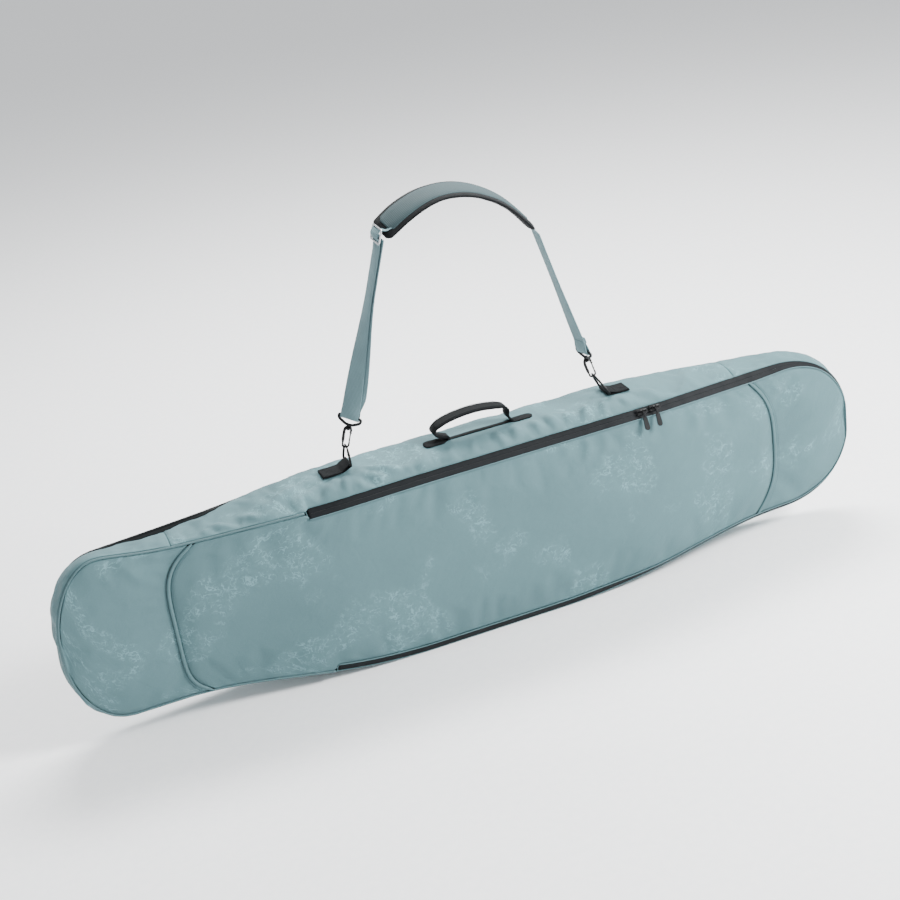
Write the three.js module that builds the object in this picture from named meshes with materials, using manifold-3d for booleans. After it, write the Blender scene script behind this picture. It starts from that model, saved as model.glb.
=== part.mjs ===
// Padded snowboard bag standing on its long bottom gusset, with a carry handle
// and a clip-on shoulder strap. Millimetres. X runs along the bag, the front
// faces -Y and +Z is up. The origin is the centre of the footprint.

import * as THREE from 'three';
import { mergeVertices } from 'three/addons/utils/BufferGeometryUtils.js';
import Module from 'manifold-3d';

const wasm = await Module();
wasm.setup();

// ---------------------------------------------------------------- dimensions

const HALF_LENGTH = 840;
const END_HALF_HEIGHT = 165;
const END_CENTRE_Z = 212;
const TOP_RISE = 7;
const BELLY_DROP = 47;
const ARCH = 20; // crown of the top gusset
const LEVEL = { end: 14, rise: 11 }; // half width of the level strip along its middle
const HALF_THICK_END = 43.5;
const HALF_THICK_RISE = 35.5;
const CORNER = { left: 106, right: 161 };
const CORNER_POWER = 2.13;
const END_FLAT = 0.2; // share of the end that is a straight vertical edge
const FULL_TO = { left: 250, right: 300 };
const TAPERED_TO = { left: 640, right: 720 };
const BELLY_FULL_TO = 130;
const BELLY_TAPERED_TO = 640;

const FABRIC = 2.5;
const LAYER_GAP = 1;
const FOAM = 5;
const LINING = 1.2;
const SEW_GAP = 0.4;
const LINING_SHORT = 6; // how far the gusset's lining stops short of its edges

const HINGE_X = -343;
const ZIP_CUT = 17; // depth of the bevel that the zip fills, along Y and Z
const ZIP_EDGE = 2;
const ZIP_THICK = 1.5;
const ZIP_SPLIT = { end: 640, belly: 215 };
const CORD_CUT = 5.5; // room left at a corner for its piping
const BINDING_CUT = 7.5;
const SEAM = { left: { x: -626, bow: 60, power: 4 }, right: { x: 660, bow: -52, power: 3 } };
const SEAM_HALF = 2.6;
const SEAM_CORD = { radius: 1.8, sunk: 0.5, short: 0.35 };
const SEAM_ROWS = 8;
const GUSSET_SPLIT = { left: -600, right: 580 };

const WEBBING = { half: 19, single: 2, double: 4.2 };
const SLIDER = { left: 355, right: 383, half: 12, wide: 12, high: 3.3, edge: 0.7, gap: 0.6 };
const BRIDGE = { top: 9, wire: 1.3 };
const PULL = { lean: 0.39, wire: 0.9, thick: 3 };
const HANDLE = { left: -45, right: 103, crown: 455, half: 15, pivotZ: 422.3, slab: 2.4 };
const GRIP = { halfY: 14, halfN: 8, wrap: 1.25, from: 0.16, to: 0.84 };
const BASE = { left: -74, right: 157, half: 20, z: 404.5, thick: 2 };
const RING = { wire: 1.8, barZ: 409, apexZ: 452, topRadius: 8, corner: 4, half: 25 };
const LEFT = { ringX: -231, padX: -97, padZ: 845, turn: 28 };
const RIGHT = { ringX: 289, padX: 203, padZ: 776, turn: 80 };
const TAB = { left: -290, right: 357, thick: 4, eye: 2.1, wall: 2 };
const HOOK = { wire: 1.8, half: 6.2, drop: 3.9, nose: 6.8, arm: 27.6, pivot: 25 };
const COLLAR = { low: 33, high: 37, bore: 2.4, rim: 7 };
const SWIVEL_PIN = { radius: 2, head: 3.3, headLow: 31, headHigh: 32.6, shoulder: 4.6 };
const BRACKET = { half: 24, foot: 7, z: [37.4, 41, 46, 59], slotZ: [47, 54], slotHalf: 20, halfThick: 2 };
const ADJUSTER = { at: 396, half: 14, wide: 23, bar: 4, front: 4.8, thick: 2.4 };
const PAD = { half: 31, tip: 24, thick: 9 };

const TEAL = { color: 0x7e9da2, roughness: 0.85, metalness: 0 };
const TEAL_PIPING = { color: 0x5d7c82, roughness: 0.7, metalness: 0 };
const BLACK_FABRIC = { color: 0x2d3437, roughness: 0.85, metalness: 0 };
const BLACK_WEBBING = { color: 0x2a3033, roughness: 0.8, metalness: 0 };
const TEAL_WEBBING = { color: 0x657d82, roughness: 0.8, metalness: 0 };
const ZIP_TAPE = { color: 0x373f43, roughness: 0.55, metalness: 0 };
const FOAM_GREY = { color: 0x9a9a98, roughness: 1, metalness: 0 };
const LINING_GREY = { color: 0x4b5052, roughness: 0.8, metalness: 0 };
const BLACK_METAL = { color: 0x1d1f20, roughness: 0.35, metalness: 0.9 };
const STEEL = { color: 0xb4b8ba, roughness: 0.3, metalness: 1 };
const BLACK_PLASTIC = { color: 0x26292b, roughness: 0.5, metalness: 0 };

const bag = new THREE.Group();

// ------------------------------------------------------------------- helpers

function place(name, geometry, look, parent = bag) {
  const mesh = new THREE.Mesh(geometry, new THREE.MeshStandardMaterial(look));
  mesh.name = name;
  parent.add(mesh);
  return mesh;
}

function signedVolume(points, faces) {
  let sum = 0;
  for (let i = 0; i < faces.length; i += 3) {
    const [a, b, c] = [points[faces[i]], points[faces[i + 1]], points[faces[i + 2]]];
    sum += a.dot(b.clone().cross(c));
  }
  return sum / 6;
}

function closedGeometry(points, faces) {
  const facing = signedVolume(points, faces) < 0 ? [...faces].reverse() : faces;
  const geometry = new THREE.BufferGeometry().setFromPoints(points);
  geometry.setIndex(facing);
  geometry.computeVertexNormals();
  return geometry;
}

// A sheet with two faces given as grids, and a wall round its edge.
function slab(columns, rows, outer, inner) {
  const points = [];
  for (const face of [outer, inner]) {
    for (let i = 0; i <= columns; i++) {
      for (let j = 0; j <= rows; j++) points.push(face(i, j));
    }
  }
  const size = (columns + 1) * (rows + 1);
  const at = (side, i, j) => side * size + i * (rows + 1) + j;
  const faces = [];
  const quad = (a, b, c, d) => faces.push(a, b, c, a, c, d);
  for (let i = 0; i < columns; i++) {
    for (let j = 0; j < rows; j++) {
      quad(at(0, i, j), at(0, i + 1, j), at(0, i + 1, j + 1), at(0, i, j + 1));
      quad(at(1, i, j), at(1, i, j + 1), at(1, i + 1, j + 1), at(1, i + 1, j));
    }
    quad(at(0, i, 0), at(1, i, 0), at(1, i + 1, 0), at(0, i + 1, 0));
    quad(at(0, i + 1, rows), at(1, i + 1, rows), at(1, i, rows), at(0, i, rows));
  }
  for (let j = 0; j < rows; j++) {
    quad(at(0, 0, j + 1), at(1, 0, j + 1), at(1, 0, j), at(0, 0, j));
    quad(at(0, columns, j), at(1, columns, j), at(1, columns, j + 1), at(0, columns, j + 1));
  }
  return closedGeometry(points, faces);
}

// A solid through convex sections of equal point counts; a ring has no caps.
function loft(sections, ring = false) {
  const sides = sections[0].length;
  const points = sections.flat();
  const faces = [];
  const last = ring ? sections.length : sections.length - 1;
  for (let i = 0; i < last; i++) {
    const next = (i + 1) % sections.length;
    for (let j = 0; j < sides; j++) {
      const turn = (j + 1) % sides;
      const [a, b] = [i * sides + j, i * sides + turn];
      const [c, d] = [next * sides + turn, next * sides + j];
      faces.push(a, b, c, a, c, d);
    }
  }
  if (!ring) {
    const end = (sections.length - 1) * sides;
    for (let j = 1; j < sides - 1; j++) {
      faces.push(0, j + 1, j, end, end + j, end + j + 1);
    }
  }
  return closedGeometry(points, faces);
}

// Cord of round section through points; across is never parallel to the run.
function cord(path, radius, sides, across, ring = false) {
  const sections = path.map((point, i) => {
    const before = path[ring ? (i + path.length - 1) % path.length : Math.max(i - 1, 0)];
    const after = path[ring ? (i + 1) % path.length : Math.min(i + 1, path.length - 1)];
    const along = after.clone().sub(before).normalize();
    const one = across.clone().addScaledVector(along, -across.dot(along)).normalize();
    const two = along.clone().cross(one);
    return Array.from({ length: sides }, (_, k) => {
      const angle = (2 * Math.PI * (k + 0.5)) / sides;
      return point.clone()
        .addScaledVector(one, radius * Math.cos(angle))
        .addScaledVector(two, radius * Math.sin(angle));
    });
  });
  return loft(sections, ring);
}

// Flat strap; each station has a centre, a width axis and a thickness axis.
function strap(stations) {
  return loft(stations.map(({ centre, wide, thick }) => [[-1, -1], [1, -1], [1, 1], [-1, 1]]
    .map(([a, b]) => centre.clone().addScaledVector(wide, a).addScaledVector(thick, b))));
}

function toSolid(geometry) {
  const bare = geometry.clone();
  bare.deleteAttribute('normal');
  bare.deleteAttribute('uv');
  const merged = mergeVertices(bare, 1e-4);
  return new wasm.Manifold(new wasm.Mesh({
    numProp: 3,
    vertProperties: new Float32Array(merged.attributes.position.array),
    triVerts: new Uint32Array(merged.index.array),
  }));
}

function fromSolid(solid) {
  const mesh = solid.getMesh();
  const geometry = new THREE.BufferGeometry();
  geometry.setAttribute('position', new THREE.BufferAttribute(mesh.vertProperties, 3));
  geometry.setIndex(new THREE.BufferAttribute(mesh.triVerts, 1));
  geometry.computeVertexNormals();
  return geometry;
}

const joined = (...parts) => fromSolid(parts.map(toSolid).reduce((a, b) => a.add(b)));
const cut = (part, tool) => fromSolid(toSolid(part).subtract(toSolid(tool)));

const vec = (x, y, z) => new THREE.Vector3(x, y, z);

function easeDown(x, from, to) {
  const t = THREE.MathUtils.clamp((x - from) / (to - from), 0, 1);
  return 1 - t * t * (3 - 2 * t);
}

// ------------------------------------------------------- the bag's body shape

const side = (x) => (x < 0 ? 'left' : 'right');
const fullness = (x) => easeDown(Math.abs(x), FULL_TO[side(x)], TAPERED_TO[side(x)]);
const belly = (x) => easeDown(Math.abs(x), BELLY_FULL_TO, BELLY_TAPERED_TO);
const halfThick = (x) => HALF_THICK_END + HALF_THICK_RISE * fullness(x);
const cornerReach = (1 - END_FLAT ** CORNER_POWER) ** (1 / CORNER_POWER);

function halfHeight(x) {
  const radius = CORNER[side(x)];
  const into = Math.max(0, (Math.abs(x) - (HALF_LENGTH - radius)) / radius);
  const share = Math.min(into, 1) * cornerReach;
  return END_HALF_HEIGHT * (1 - share ** CORNER_POWER) ** (1 / CORNER_POWER);
}

const topZ = (x) => END_CENTRE_Z + halfHeight(x) + TOP_RISE * fullness(x);
const bottomZ = (x) => END_CENTRE_Z - halfHeight(x) - BELLY_DROP * belly(x);
const levelHalf = (x) => LEVEL.end + LEVEL.rise * fullness(x);

function bodyStations() {
  const corner = (radius) => [0, 0.3, 0.55, 0.75, 0.9, 1].map((s) => HALF_LENGTH - radius * (1 - s));
  const left = corner(CORNER.left).map((x) => -x).reverse();
  const middle = [-685, GUSSET_SPLIT.left, -520, -430, HINGE_X - 12, HINGE_X, -250, -130, 0,
    130, 215, 300, 390, 480, GUSSET_SPLIT.right, 640];
  return [...left, ...middle, ...corner(CORNER.right)];
}

const STATIONS = bodyStations();
const COUNT = STATIONS.length;
const LOOP = [
  ...STATIONS.map((x) => ({ x, z: topZ(x), rise: ARCH * fullness(x) })),
  ...[...STATIONS].reverse().map((x) => ({ x, z: bottomZ(x), rise: 0 })),
];

// Point number k of the side outline, moved inwards by inset.
function loopPoint(k, inset) {
  const here = LOOP[(k + LOOP.length) % LOOP.length];
  const before = LOOP[(k + LOOP.length - 1) % LOOP.length];
  const after = LOOP[(k + 1) % LOOP.length];
  const one = new THREE.Vector2(here.x - before.x, here.z - before.z).normalize();
  const two = new THREE.Vector2(after.x - here.x, after.z - here.z).normalize();
  const along = one.clone().add(two).normalize();
  const reach = inset / along.dot(one);
  return { x: here.x + along.y * reach, z: here.z - along.x * reach, thick: halfThick(here.x) };
}

const inset = (distance) => LOOP.map((_, k) => loopPoint(k, distance));

// Height of the inset outline above or below at x.
function edgeZ(line, upper, x) {
  const run = upper ? line.slice(0, COUNT) : line.slice(COUNT).reverse();
  const after = run.findIndex((p) => p.x >= x);
  if (after <= 0) return run[after < 0 ? COUNT - 1 : 0].z;
  const [a, b] = [run[after - 1], run[after]];
  return THREE.MathUtils.lerp(a.z, b.z, (x - a.x) / (b.x - a.x));
}

// ------------------------------------------------------------ front and back

// Share of the height at row j, with the rows closer together towards the edges.
const rowShare = (j, rows) => (1 - Math.cos((Math.PI * j) / rows)) / 2;

// Sheet on the front (facing -1) or back (+1), between two edges that may bow.
function panel({ facing, margin, from, to, deep, thick, rows = 1 }) {
  const line = inset(margin);
  const ends = { low: line[0].x, high: line[COUNT - 1].x };
  const edge = (limit, v) => {
    if (limit === 'left end') return ends.low;
    if (limit === 'right end') return ends.high;
    return typeof limit === 'function' ? limit(v) : limit;
  };
  const [start, stop] = [edge(from, 0.5), edge(to, 0.5)];
  const inner = STATIONS.filter((x) => x > start + 9 && x < stop - 9);
  const shares = [0, ...inner.map((x) => (x - start) / (stop - start)), 1];
  const point = (depth) => (i, j) => {
    const v = rowShare(j, rows);
    const x = THREE.MathUtils.lerp(edge(from, v), edge(to, v), shares[i]);
    const z = THREE.MathUtils.lerp(edgeZ(line, false, x), edgeZ(line, true, x), v);
    return vec(x, facing * (halfThick(x) - depth), z);
  };
  return slab(shares.length - 1, rows, point(deep), point(deep + thick));
}

// A seam that bows towards the end of the bag; side steps keep their width on its slope.
function seamLine({ x, bow, power }, offset) {
  return (v) => {
    const out = Math.abs(2 * v - 1);
    const slope = (2 * bow * power * out ** (power - 1)) / (2 * END_HALF_HEIGHT);
    return x + offset * Math.hypot(1, slope) + bow * out ** power;
  };
}

const leftSeam = (offset) => seamLine(SEAM.left, offset);
const rightSeam = (offset) => seamLine(SEAM.right, offset);

const FOAM_DEEP = FABRIC + LAYER_GAP;
const LINING_DEEP = FOAM_DEEP + FOAM + LAYER_GAP;
const FOAM_MARGIN = 24;
const FOAM_HINGE_ROOM = 6;

function addFixedFront() {
  const skin = { facing: -1, margin: CORD_CUT, deep: 0, thick: FABRIC, rows: SEAM_ROWS };
  place('front_left_panel', panel({ ...skin, from: 'left end', to: leftSeam(-SEAM_HALF) }), TEAL);
  place('front_centre_panel_fixed',
    panel({ ...skin, from: leftSeam(SEAM_HALF), to: HINGE_X - SEW_GAP }), TEAL);
  const inside = { facing: -1, margin: FOAM_MARGIN, from: 'left end', to: HINGE_X - FOAM_HINGE_ROOM };
  place('front_fixed_foam', panel({ ...inside, deep: FOAM_DEEP, thick: FOAM }), FOAM_GREY);
  place('front_fixed_lining', panel({ ...inside, deep: LINING_DEEP, thick: LINING }), LINING_GREY);
}

function addFlap() {
  const skin = { facing: -1, margin: ZIP_CUT, deep: 0, thick: FABRIC, rows: SEAM_ROWS };
  place('flap_centre_panel',
    panel({ ...skin, from: HINGE_X + SEW_GAP, to: rightSeam(-SEAM_HALF) }), TEAL);
  place('flap_right_panel', panel({ ...skin, from: rightSeam(SEAM_HALF), to: 'right end' }), TEAL);
  const inside = { facing: -1, margin: FOAM_MARGIN, from: HINGE_X + FOAM_HINGE_ROOM, to: 'right end' };
  place('flap_foam', panel({ ...inside, deep: FOAM_DEEP, thick: FOAM }), FOAM_GREY);
  place('flap_lining', panel({ ...inside, deep: LINING_DEEP, thick: LINING }), LINING_GREY);
}

function addBack() {
  const whole = { facing: 1, from: 'left end', to: 'right end' };
  place('back_panel', panel({ ...whole, margin: BINDING_CUT, deep: 0, thick: FABRIC }), BLACK_FABRIC);
  place('back_foam', panel({ ...whole, margin: FOAM_MARGIN, deep: FOAM_DEEP, thick: FOAM }), FOAM_GREY);
  place('back_lining',
    panel({ ...whole, margin: FOAM_MARGIN, deep: LINING_DEEP, thick: LINING }), LINING_GREY);
}

// Piping in the channel between two front panels.
function addSeamPiping(name, seam, margin) {
  const line = inset(margin);
  const path = Array.from({ length: SEAM_ROWS + 1 }, (_, j) => {
    const v = rowShare(j, SEAM_ROWS);
    const x = seam(v);
    const z = THREE.MathUtils.lerp(edgeZ(line, false, x), edgeZ(line, true, x), v);
    return vec(x, -halfThick(x) + SEAM_CORD.sunk, z);
  });
  path[0].lerp(path[1], SEAM_CORD.short);
  path[SEAM_ROWS].lerp(path[SEAM_ROWS - 1], SEAM_CORD.short);
  place(name, cord(path, SEAM_CORD.radius, 6, vec(0, 1, 0)), TEAL_PIPING);
}

// -------------------------------------------------------- gusset and its trim

function frontEdgeY(k) {
  const { x } = LOOP[k];
  return -halfThick(x) + (x < HINGE_X ? CORD_CUT : ZIP_CUT);
}

const backEdgeY = (k) => halfThick(LOOP[k].x) - BINDING_CUT;

// Strip of gusset from loop point first to last, crowned where the loop rises.
function gusset(first, last) {
  const count = last - first;
  const across = (k, depth) => {
    const { x, z } = loopPoint(k, depth);
    const { rise } = LOOP[k % LOOP.length];
    const [front, back] = [frontEdgeY(k % LOOP.length), backEdgeY(k % LOOP.length)];
    const level = levelHalf(LOOP[k % LOOP.length].x);
    return [
      vec(x, front, z),
      vec(x, -level, z + rise),
      vec(x, level, z + rise),
      vec(x, back, z),
    ];
  };
  const outer = (i, j) => across(first + i, 0)[j];
  const inner = (i, j) => across(first + i, FABRIC)[j];
  return slab(count, 3, outer, inner);
}

// Trims a strip to a box in X so that neighbours keep a sewn gap.
function trimmed(geometry, low, high) {
  const box = new THREE.BoxGeometry(high - low, 400, 1000);
  box.translate((low + high) / 2, 0, END_CENTRE_Z);
  return fromSolid(toSolid(geometry).intersect(toSolid(box)));
}

function addGussets() {
  const topLeft = STATIONS.indexOf(GUSSET_SPLIT.left);
  const topRight = STATIONS.indexOf(GUSSET_SPLIT.right);
  const bottomRight = 2 * COUNT - 1 - topRight;
  const bottomLeft = 2 * COUNT - 1 - topLeft;
  const { left, right } = GUSSET_SPLIT;
  const middle = (geometry) => trimmed(geometry, left + SEW_GAP / 2, right - SEW_GAP / 2);
  place('top_gusset', middle(gusset(topLeft, topRight)), TEAL);
  place('bottom_gusset', middle(gusset(bottomRight, bottomLeft)), TEAL);
  place('right_end_gusset',
    trimmed(gusset(topRight, bottomRight), right + SEW_GAP / 2, HALF_LENGTH + 1), TEAL);
  place('left_end_gusset',
    trimmed(gusset(bottomLeft, 2 * COUNT + topLeft), -HALF_LENGTH - 1, left - SEW_GAP / 2),
    TEAL);
}

function gussetLining() {
  const deep = FABRIC + LAYER_GAP;
  const sections = LOOP.map(({ x: station, rise }, k) => {
    const [front, back] = [frontEdgeY(k) + LINING_SHORT, backEdgeY(k) - LINING_SHORT];
    const level = levelHalf(station);
    const face = ({ x, z }) => [
      vec(x, front, z),
      vec(x, -level, z + rise),
      vec(x, level, z + rise),
      vec(x, back, z),
    ];
    return [...face(loopPoint(k, deep)), ...face(loopPoint(k, deep + LINING)).reverse()];
  });
  return loft(sections, true);
}

function addTrim() {
  const binding = BINDING_CUT / 2;
  const backPath = LOOP.map((_, k) => {
    const { x, z, thick } = loopPoint(k, binding);
    return vec(x, thick - binding, z);
  });
  place('back_binding', cord(backPath, binding - SEW_GAP, 6, vec(0, 1, 0), true), BLACK_FABRIC);

  const start = STATIONS.indexOf(HINGE_X - 12);
  const middle = CORD_CUT / 2;
  const frontPath = [];
  for (let k = 2 * COUNT - 1 - start; k <= 2 * COUNT + start; k++) {
    const { x, z, thick } = loopPoint(k, middle);
    frontPath.push(vec(x, -thick + middle, z));
  }
  place('front_edge_piping', cord(frontPath, middle - 2 * SEW_GAP, 6, vec(0, 1, 0)), TEAL_PIPING);
}

// ----------------------------------------------------------------------- zip

// Stretches of the zip, as loop points and limits in X: along the top, round the
// end, back below, and along the belly.
function zipStretches() {
  const above = (x) => STATIONS.indexOf(x);
  const below = (x) => 2 * COUNT - 1 - above(x);
  const { end, belly: fold } = ZIP_SPLIT;
  const gap = SEW_GAP / 2;
  const start = HINGE_X + SEW_GAP;
  return {
    top: { points: [above(HINGE_X), above(end)], low: start, high: end - gap },
    end: { points: [above(end), below(end)], low: end + gap, high: HALF_LENGTH },
    bottom: { points: [below(end), below(fold)], low: fold + gap, high: end - gap },
    belly: { points: [below(fold), below(HINGE_X)], low: start, high: fold - gap },
  };
}

// Half of the zip, between two depths measured across the bevel.
function zipHalf(near, far, { points: [first, last], low, high }) {
  const drop = ZIP_THICK / Math.SQRT2;
  const corner = (k, depth, thick) => {
    const { x, z, thick: half } = loopPoint(k, depth + thick);
    return vec(x, -half + ZIP_CUT - depth + thick, z);
  };
  const sections = [];
  for (let k = first; k <= last; k++) {
    sections.push([corner(k, near, 0), corner(k, far, 0), corner(k, far, drop), corner(k, near, drop)]);
  }
  return trimmed(loft(sections), low, high);
}

function addZip() {
  const middle = ZIP_CUT / 2;
  const gap = SEW_GAP / 2;
  for (const [name, stretch] of Object.entries(zipStretches())) {
    place(`zip_body_${name}`, zipHalf(ZIP_EDGE, middle - gap, stretch), ZIP_TAPE);
    place(`zip_flap_${name}`, zipHalf(middle + gap, ZIP_CUT - ZIP_EDGE, stretch), ZIP_TAPE);
  }
}

// Slider with a bridge for its pull, lying flat at the origin.
function sliderBody() {
  const { half, wide, high, edge } = SLIDER;
  const { top, wire } = BRIDGE;
  const shape = new THREE.Shape();
  shape.moveTo(-half, -wide / 2);
  shape.lineTo(half * 0.3, -wide / 2);
  shape.lineTo(half, -wide * 0.3);
  shape.lineTo(half, wide * 0.3);
  shape.lineTo(half * 0.3, wide / 2);
  shape.lineTo(-half, wide / 2);
  const plate = new THREE.ExtrudeGeometry(shape, {
    depth: high - 2 * edge, bevelEnabled: true, bevelSize: edge, bevelThickness: edge,
    bevelSegments: 1, bevelOffset: -edge,
  });
  plate.translate(0, 0, edge);
  const bridge = [
    vec(-9, 0, high - 1), vec(-8, 0, top - 2), vec(-5.5, 0, top),
    vec(5.5, 0, top), vec(8, 0, top - 2), vec(9, 0, high - 1),
  ];
  return joined(plate, cord(bridge, wire, 6, vec(0, 1, 0)));
}

// Group on the zip's bevel at x, turned so that its Z points out of the bevel.
function sliderPlace(x) {
  const group = new THREE.Group();
  const clear = HALF_THICK_END + HALF_THICK_RISE - halfThick(x);
  const lift = (SLIDER.gap + clear) / Math.SQRT2;
  group.position.set(x, -halfThick(x) + ZIP_CUT / 2 - lift, topZ(x) - ZIP_CUT / 2 + lift);
  group.rotation.x = Math.PI / 4;
  bag.add(group);
  return group;
}

// Wire link round the slider's bridge with a moulded finger end, hanging down.
function pullGeometry() {
  const { wire, thick } = PULL;
  const line = new THREE.CatmullRomCurve3([
    vec(0, 0, 2.6), vec(0, 2.6, 0.6), vec(0, 2, -6), vec(0, 1.2, -17),
    vec(0, 0, -19), vec(0, -1.2, -17), vec(0, -2, -6), vec(0, -2.6, 0.6),
  ], true);
  const link = new THREE.TubeGeometry(line, 20, wire, 6, true);
  const outline = new THREE.Shape();
  outline.absarc(0, -18, 4.2, 0, Math.PI, false);
  outline.absarc(0, -36, 5.2, Math.PI, 2 * Math.PI, false);
  const end = new THREE.ExtrudeGeometry(outline, { depth: thick, bevelEnabled: false, curveSegments: 6 });
  end.rotateX(Math.PI / 2);
  end.translate(0, thick / 2, 0);
  return joined(link, end);
}

function addSlider(name, x) {
  const group = sliderPlace(x);
  place(`${name}_slider`, sliderBody(), BLACK_METAL, group);
  const pull = new THREE.Group();
  pull.position.z = BRIDGE.top;
  pull.rotation.x = -Math.PI / 4 - PULL.lean;
  group.add(pull);
  place(`${name}_pull`, pullGeometry(), BLACK_PLASTIC, pull);
}

// -------------------------------------------------------------- carry handle

function handleCurve() {
  const { left, right, crown, pivotZ } = HANDLE;
  return new THREE.CatmullRomCurve3([
    vec(left, 0, pivotZ), vec(left - 1, 0, pivotZ + 12), vec(left + 14, 0, crown - 5),
    vec((left + right) / 2, 0, crown), vec(right - 18, 0, crown - 6),
    vec(right + 1, 0, pivotZ + 12), vec(right, 0, pivotZ),
  ]);
}

function stationsOn(curve, from, to, count) {
  return Array.from({ length: count + 1 }, (_, i) => {
    const t = from + ((to - from) * i) / count;
    const along = curve.getTangentAt(t);
    return { centre: curve.getPointAt(t), normal: vec(0, 1, 0).cross(along).negate(), t };
  });
}

// Webbing of the handle; its round feet turn about the hinge line.
function handleWebbing() {
  const { half, slab: thick, left, right, pivotZ } = HANDLE;
  const run = stationsOn(handleCurve(), 0, 1, 16).map(({ centre, normal }) => ({
    centre,
    wide: vec(0, half, 0),
    thick: normal.multiplyScalar(thick / 2),
  }));
  const foot = (x) => {
    const disc = new THREE.CylinderGeometry(half, half, thick, 16);
    disc.rotateZ(Math.PI / 2);
    disc.translate(x, 0, pivotZ);
    return disc;
  };
  return joined(strap(run), foot(left), foot(right));
}

function handleGrip() {
  const section = (centre, normal) => Array.from({ length: 12 }, (_, k) => {
    const angle = (2 * Math.PI * k) / 12;
    const round = (value) => Math.sign(value) * Math.abs(value) ** 0.7;
    return centre.clone()
      .addScaledVector(vec(0, 1, 0), GRIP.halfY * GRIP.wrap * round(Math.cos(angle)))
      .addScaledVector(normal, GRIP.halfN * GRIP.wrap * round(Math.sin(angle)));
  });
  const run = stationsOn(handleCurve(), GRIP.from, GRIP.to, 12);
  const outer = loft(run.map(({ centre, normal }) => section(centre, normal)));
  const hole = stationsOn(handleCurve(), GRIP.from - 0.03, GRIP.to + 0.03, 14);
  const clear = strap(hole.map(({ centre, normal }) => ({
    centre,
    wide: vec(0, HANDLE.half + SEW_GAP, 0),
    thick: normal.multiplyScalar(HANDLE.slab / 2 + SEW_GAP),
  })));
  return cut(outer, clear);
}

function addHandle() {
  const base = new THREE.BoxGeometry(BASE.right - BASE.left, 2 * BASE.half, BASE.thick);
  base.translate((BASE.left + BASE.right) / 2, 0, BASE.z + BASE.thick / 2);
  place('handle_base_strip', base, BLACK_WEBBING);
  place('handle_webbing', handleWebbing(), BLACK_WEBBING);
  place('handle_grip', handleGrip(), BLACK_WEBBING);
}

// ----------------------------------------------------- tabs, rings and hooks

// Doubled webbing sewn to the gusset, with an eye round the ring's bar.
function tabGeometry(outerX, ringX) {
  const run = Math.abs(outerX - ringX);
  const eye = TAB.eye + TAB.wall;
  const floor = BASE.z - RING.barZ;
  const shape = new THREE.Shape();
  shape.moveTo(-run, floor);
  shape.lineTo(0, -eye);
  shape.absarc(0, 0, eye, -Math.PI / 2, Math.PI / 2, false);
  shape.lineTo(-eye * 2.2, floor + TAB.thick);
  shape.lineTo(-run, floor + TAB.thick);
  const hole = new THREE.Path();
  hole.absarc(0, 0, TAB.eye, 0, 2 * Math.PI, true);
  shape.holes.push(hole);
  const tab = new THREE.ExtrudeGeometry(shape, {
    depth: 2 * WEBBING.half, bevelEnabled: false, curveSegments: 10,
  });
  tab.translate(0, 0, -WEBBING.half);
  tab.rotateX(Math.PI / 2);
  if (outerX > ringX) tab.rotateZ(Math.PI);
  tab.translate(ringX, 0, RING.barZ);
  return tab;
}

function ringSolid(ringX) {
  const { half, corner, topRadius, barZ, apexZ, wire } = RING;
  const topZc = apexZ - topRadius;
  const lowY = half - corner;
  const lowZ = barZ + corner;
  const slope = Math.atan2(lowY, topZc - lowZ);
  const tangent = slope - Math.asin((topRadius - corner) / Math.hypot(lowY, topZc - lowZ));
  const path = [];
  const arc = (y, z, radius, from, to, steps) => {
    for (let i = 0; i <= steps; i++) {
      const angle = from + ((to - from) * i) / steps;
      path.push(vec(ringX, y + radius * Math.cos(angle), z + radius * Math.sin(angle)));
    }
  };
  arc(0, topZc, topRadius, Math.PI - tangent, tangent, 8);
  arc(lowY, lowZ, corner, tangent, -Math.PI / 2, 5);
  arc(-lowY, lowZ, corner, -Math.PI / 2, -Math.PI - tangent, 5);
  return cord(path, wire, 8, vec(1, 0, 0), true);
}

function hookGeometry() {
  const { wire, half, drop, nose, arm } = HOOK;
  const { low, high, bore, rim } = COLLAR;
  const bight = Array.from({ length: 9 }, (_, i) => {
    const angle = Math.PI + (Math.PI * i) / 8;
    return vec(half * Math.cos(angle), 0, drop * Math.sin(angle));
  });
  const top = [vec(4.8, 0, low + 1.5), vec(half, 0, arm + 3)];
  const spine = [...top.map((p) => p.clone().setX(-p.x)), vec(-half, 0, 10)];
  const body = cord([...spine, ...bight, vec(half, 0, nose)], wire, 8, vec(0, 1, 0));
  const upper = cord([...top, vec(half, 0, arm)], wire, 8, vec(0, 1, 0));
  const profile = [
    [bore, low], [rim - 0.4, low], [rim, low + 1], [rim - 1, high], [bore, high], [bore, low],
  ];
  const ring = new THREE.LatheGeometry(profile.map(([r, z]) => new THREE.Vector2(r, z)), 16);
  ring.rotateX(Math.PI / 2);
  return joined(body, upper, ring);
}

function gateGeometry() {
  const { half, nose, pivot } = HOOK;
  const bar = cord([vec(half, 0, nose + 0.7), vec(half, 0, pivot)], 1.4, 8, vec(0, 1, 0));
  const pin = new THREE.CylinderGeometry(2.1, 2.1, 4.4, 10);
  pin.translate(half, 0, pivot);
  return joined(bar, pin);
}

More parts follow.
